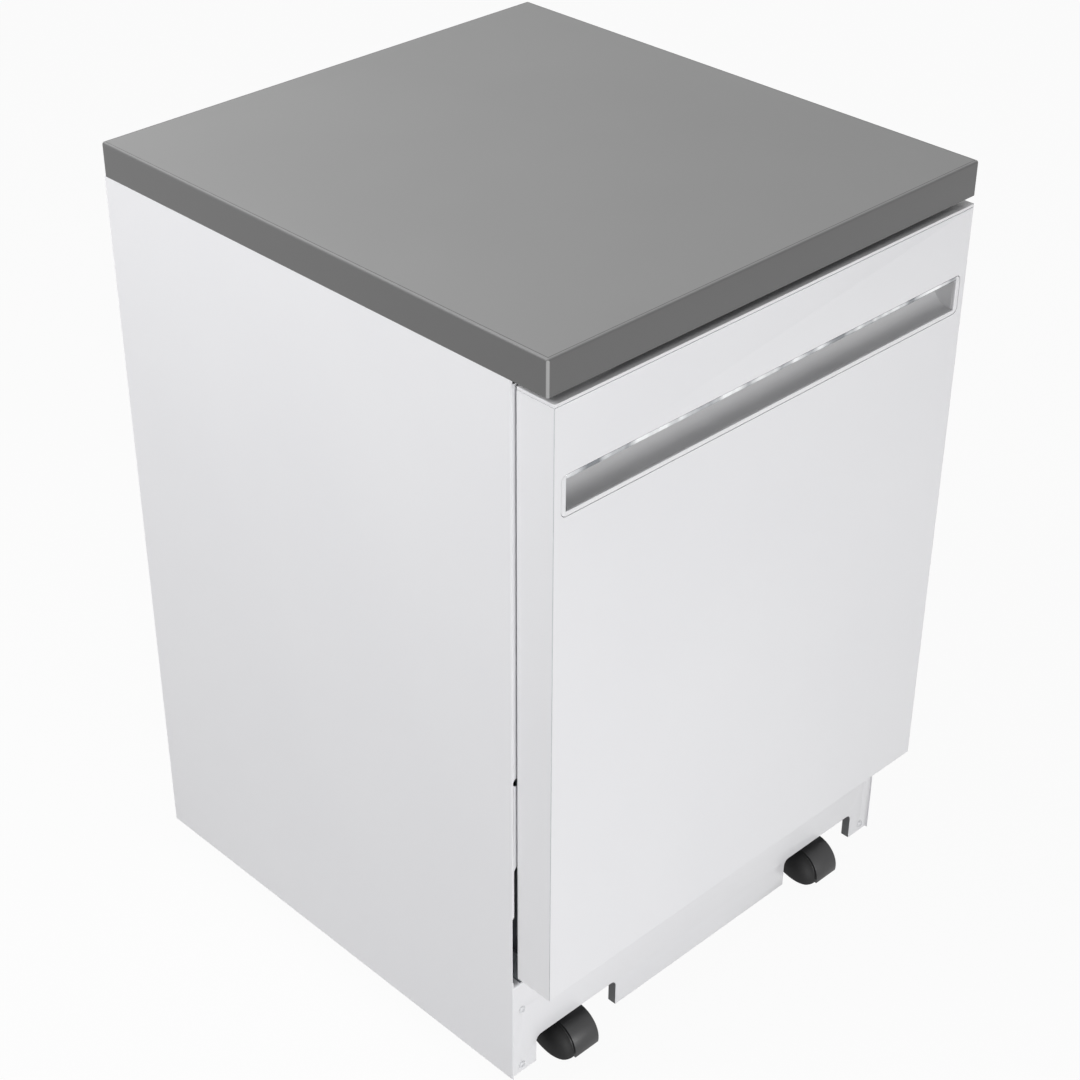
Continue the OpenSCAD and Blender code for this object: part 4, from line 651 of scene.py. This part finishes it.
# stage, light and camera; each lamp: name, place, target, size, and the share of full daylight at its target
studio = {
    "fill": 0.16, "floor": "#c8c8c8", "floorHalf": 9, "floorGlow": 0.95, "daylight": 9.87,
    "lamps": [
        ("overheadSoftbox", (-0.4, -0.4, 4.2), (0, 0, 0.93), (3.2, 3.2), 0.2),
        ("leftSoftbox", (-1.9, 0.7, 2.4), (-0.3, 0, 0.75), (1.3, 1.3), 0.9),
        ("frontSoftbox", (-0.7, -3.4, 0.6), (0, -0.33, 0.4), (2.2, 1.0), 0.7),
    ],
}


def seenWhite(tree):
    # 1 for rays that look at the backdrop, straight, mirrored or through glass, and 0 for rays that it lights
    rays = addNode(tree, "ShaderNodeLightPath")
    seen = addNode(tree, "ShaderNodeMath", {"operation": "MAXIMUM"},
                   {0: rays.outputs["Is Camera Ray"], 1: rays.outputs["Is Glossy Ray"]})
    seen = addNode(tree, "ShaderNodeMath", {"operation": "MAXIMUM"},
                   {0: seen.outputs["Value"], 1: rays.outputs["Is Transmission Ray"]})
    return seen.outputs["Value"]


def layFloor():
    bm = bmesh.new()
    bmesh.ops.create_grid(bm, x_segments=1, y_segments=1, size=studio["floorHalf"])
    floor = bpy.data.objects.new("studioFloor", meshFrom(bm, "studioFloor"))
    scene.collection.objects.link(floor)
    paper = bpy.data.materials.new("whitePaperFloor")
    paper.use_nodes = True
    tree = paper.node_tree
    tree.nodes.clear()
    share = addNode(tree, "ShaderNodeMath", {"operation": "MULTIPLY", 1: studio["floorGlow"]}, {0: seenWhite(tree)})
    lit = addNode(tree, "ShaderNodeBsdfDiffuse", {"Color": hexColour(studio["floor"])})
    white = addNode(tree, "ShaderNodeEmission", {"Strength": 1.0})
    both = addNode(tree, "ShaderNodeMixShader", {},
                   {0: share.outputs["Value"], 1: lit.outputs["BSDF"], 2: white.outputs["Emission"]})
    addNode(tree, "ShaderNodeOutputMaterial", {}, {"Surface": both.outputs["Shader"]})
    floor.data.materials.append(paper)


def lightStudio():
    world = bpy.data.worlds.new("paleStudio")
    scene.world = world
    world.use_nodes = True
    tree = world.node_tree
    level = addNode(tree, "ShaderNodeMapRange", {"To Min": studio["fill"], "To Max": 1.0}, {"Value": seenWhite(tree)})
    tree.links.new(level.outputs["Result"], tree.nodes["Background"].inputs["Strength"])
    tree.nodes["Background"].inputs["Color"].default_value = (1, 1, 1, 1)
    for name, place, target, size, share in studio["lamps"]:
        lamp = bpy.data.lights.new(name, "AREA")
        lamp.shape = "RECTANGLE"
        lamp.size, lamp.size_y = size
        place, target = Vector(place), Vector(target)
        lamp.energy = share * studio["daylight"] * (place - target).length_squared
        holder = bpy.data.objects.new(name, lamp)
        turn = (target - place).to_track_quat("-Z", "Y").to_matrix().to_4x4()
        holder.matrix_world = Matrix.Translation(place) @ turn
        scene.collection.objects.link(holder)


layFloor()
lightStudio()

view = {"place": (-1.4750, -1.5111, 1.8298), "forward": (0.5772, 0.6035, -0.5501), "roll": -0.124, "lens": 73.92,
        "sensor": 36, "shift": (0.02135, 0.01548)}
optics = bpy.data.cameras.new("catalogueCamera")
optics.sensor_width = view["sensor"]
optics.lens = view["lens"]
optics.shift_x, optics.shift_y = view["shift"]
camera = bpy.data.objects.new("catalogueCamera", optics)
turn = Vector(view["forward"]).to_track_quat("-Z", "Y").to_matrix().to_4x4()
camera.matrix_world = Matrix.Translation(view["place"]) @ turn @ Matrix.Rotation(math.radians(view["roll"]), 4, "Z")
scene.collection.objects.link(camera)
scene.camera = camera
print("studio ready")
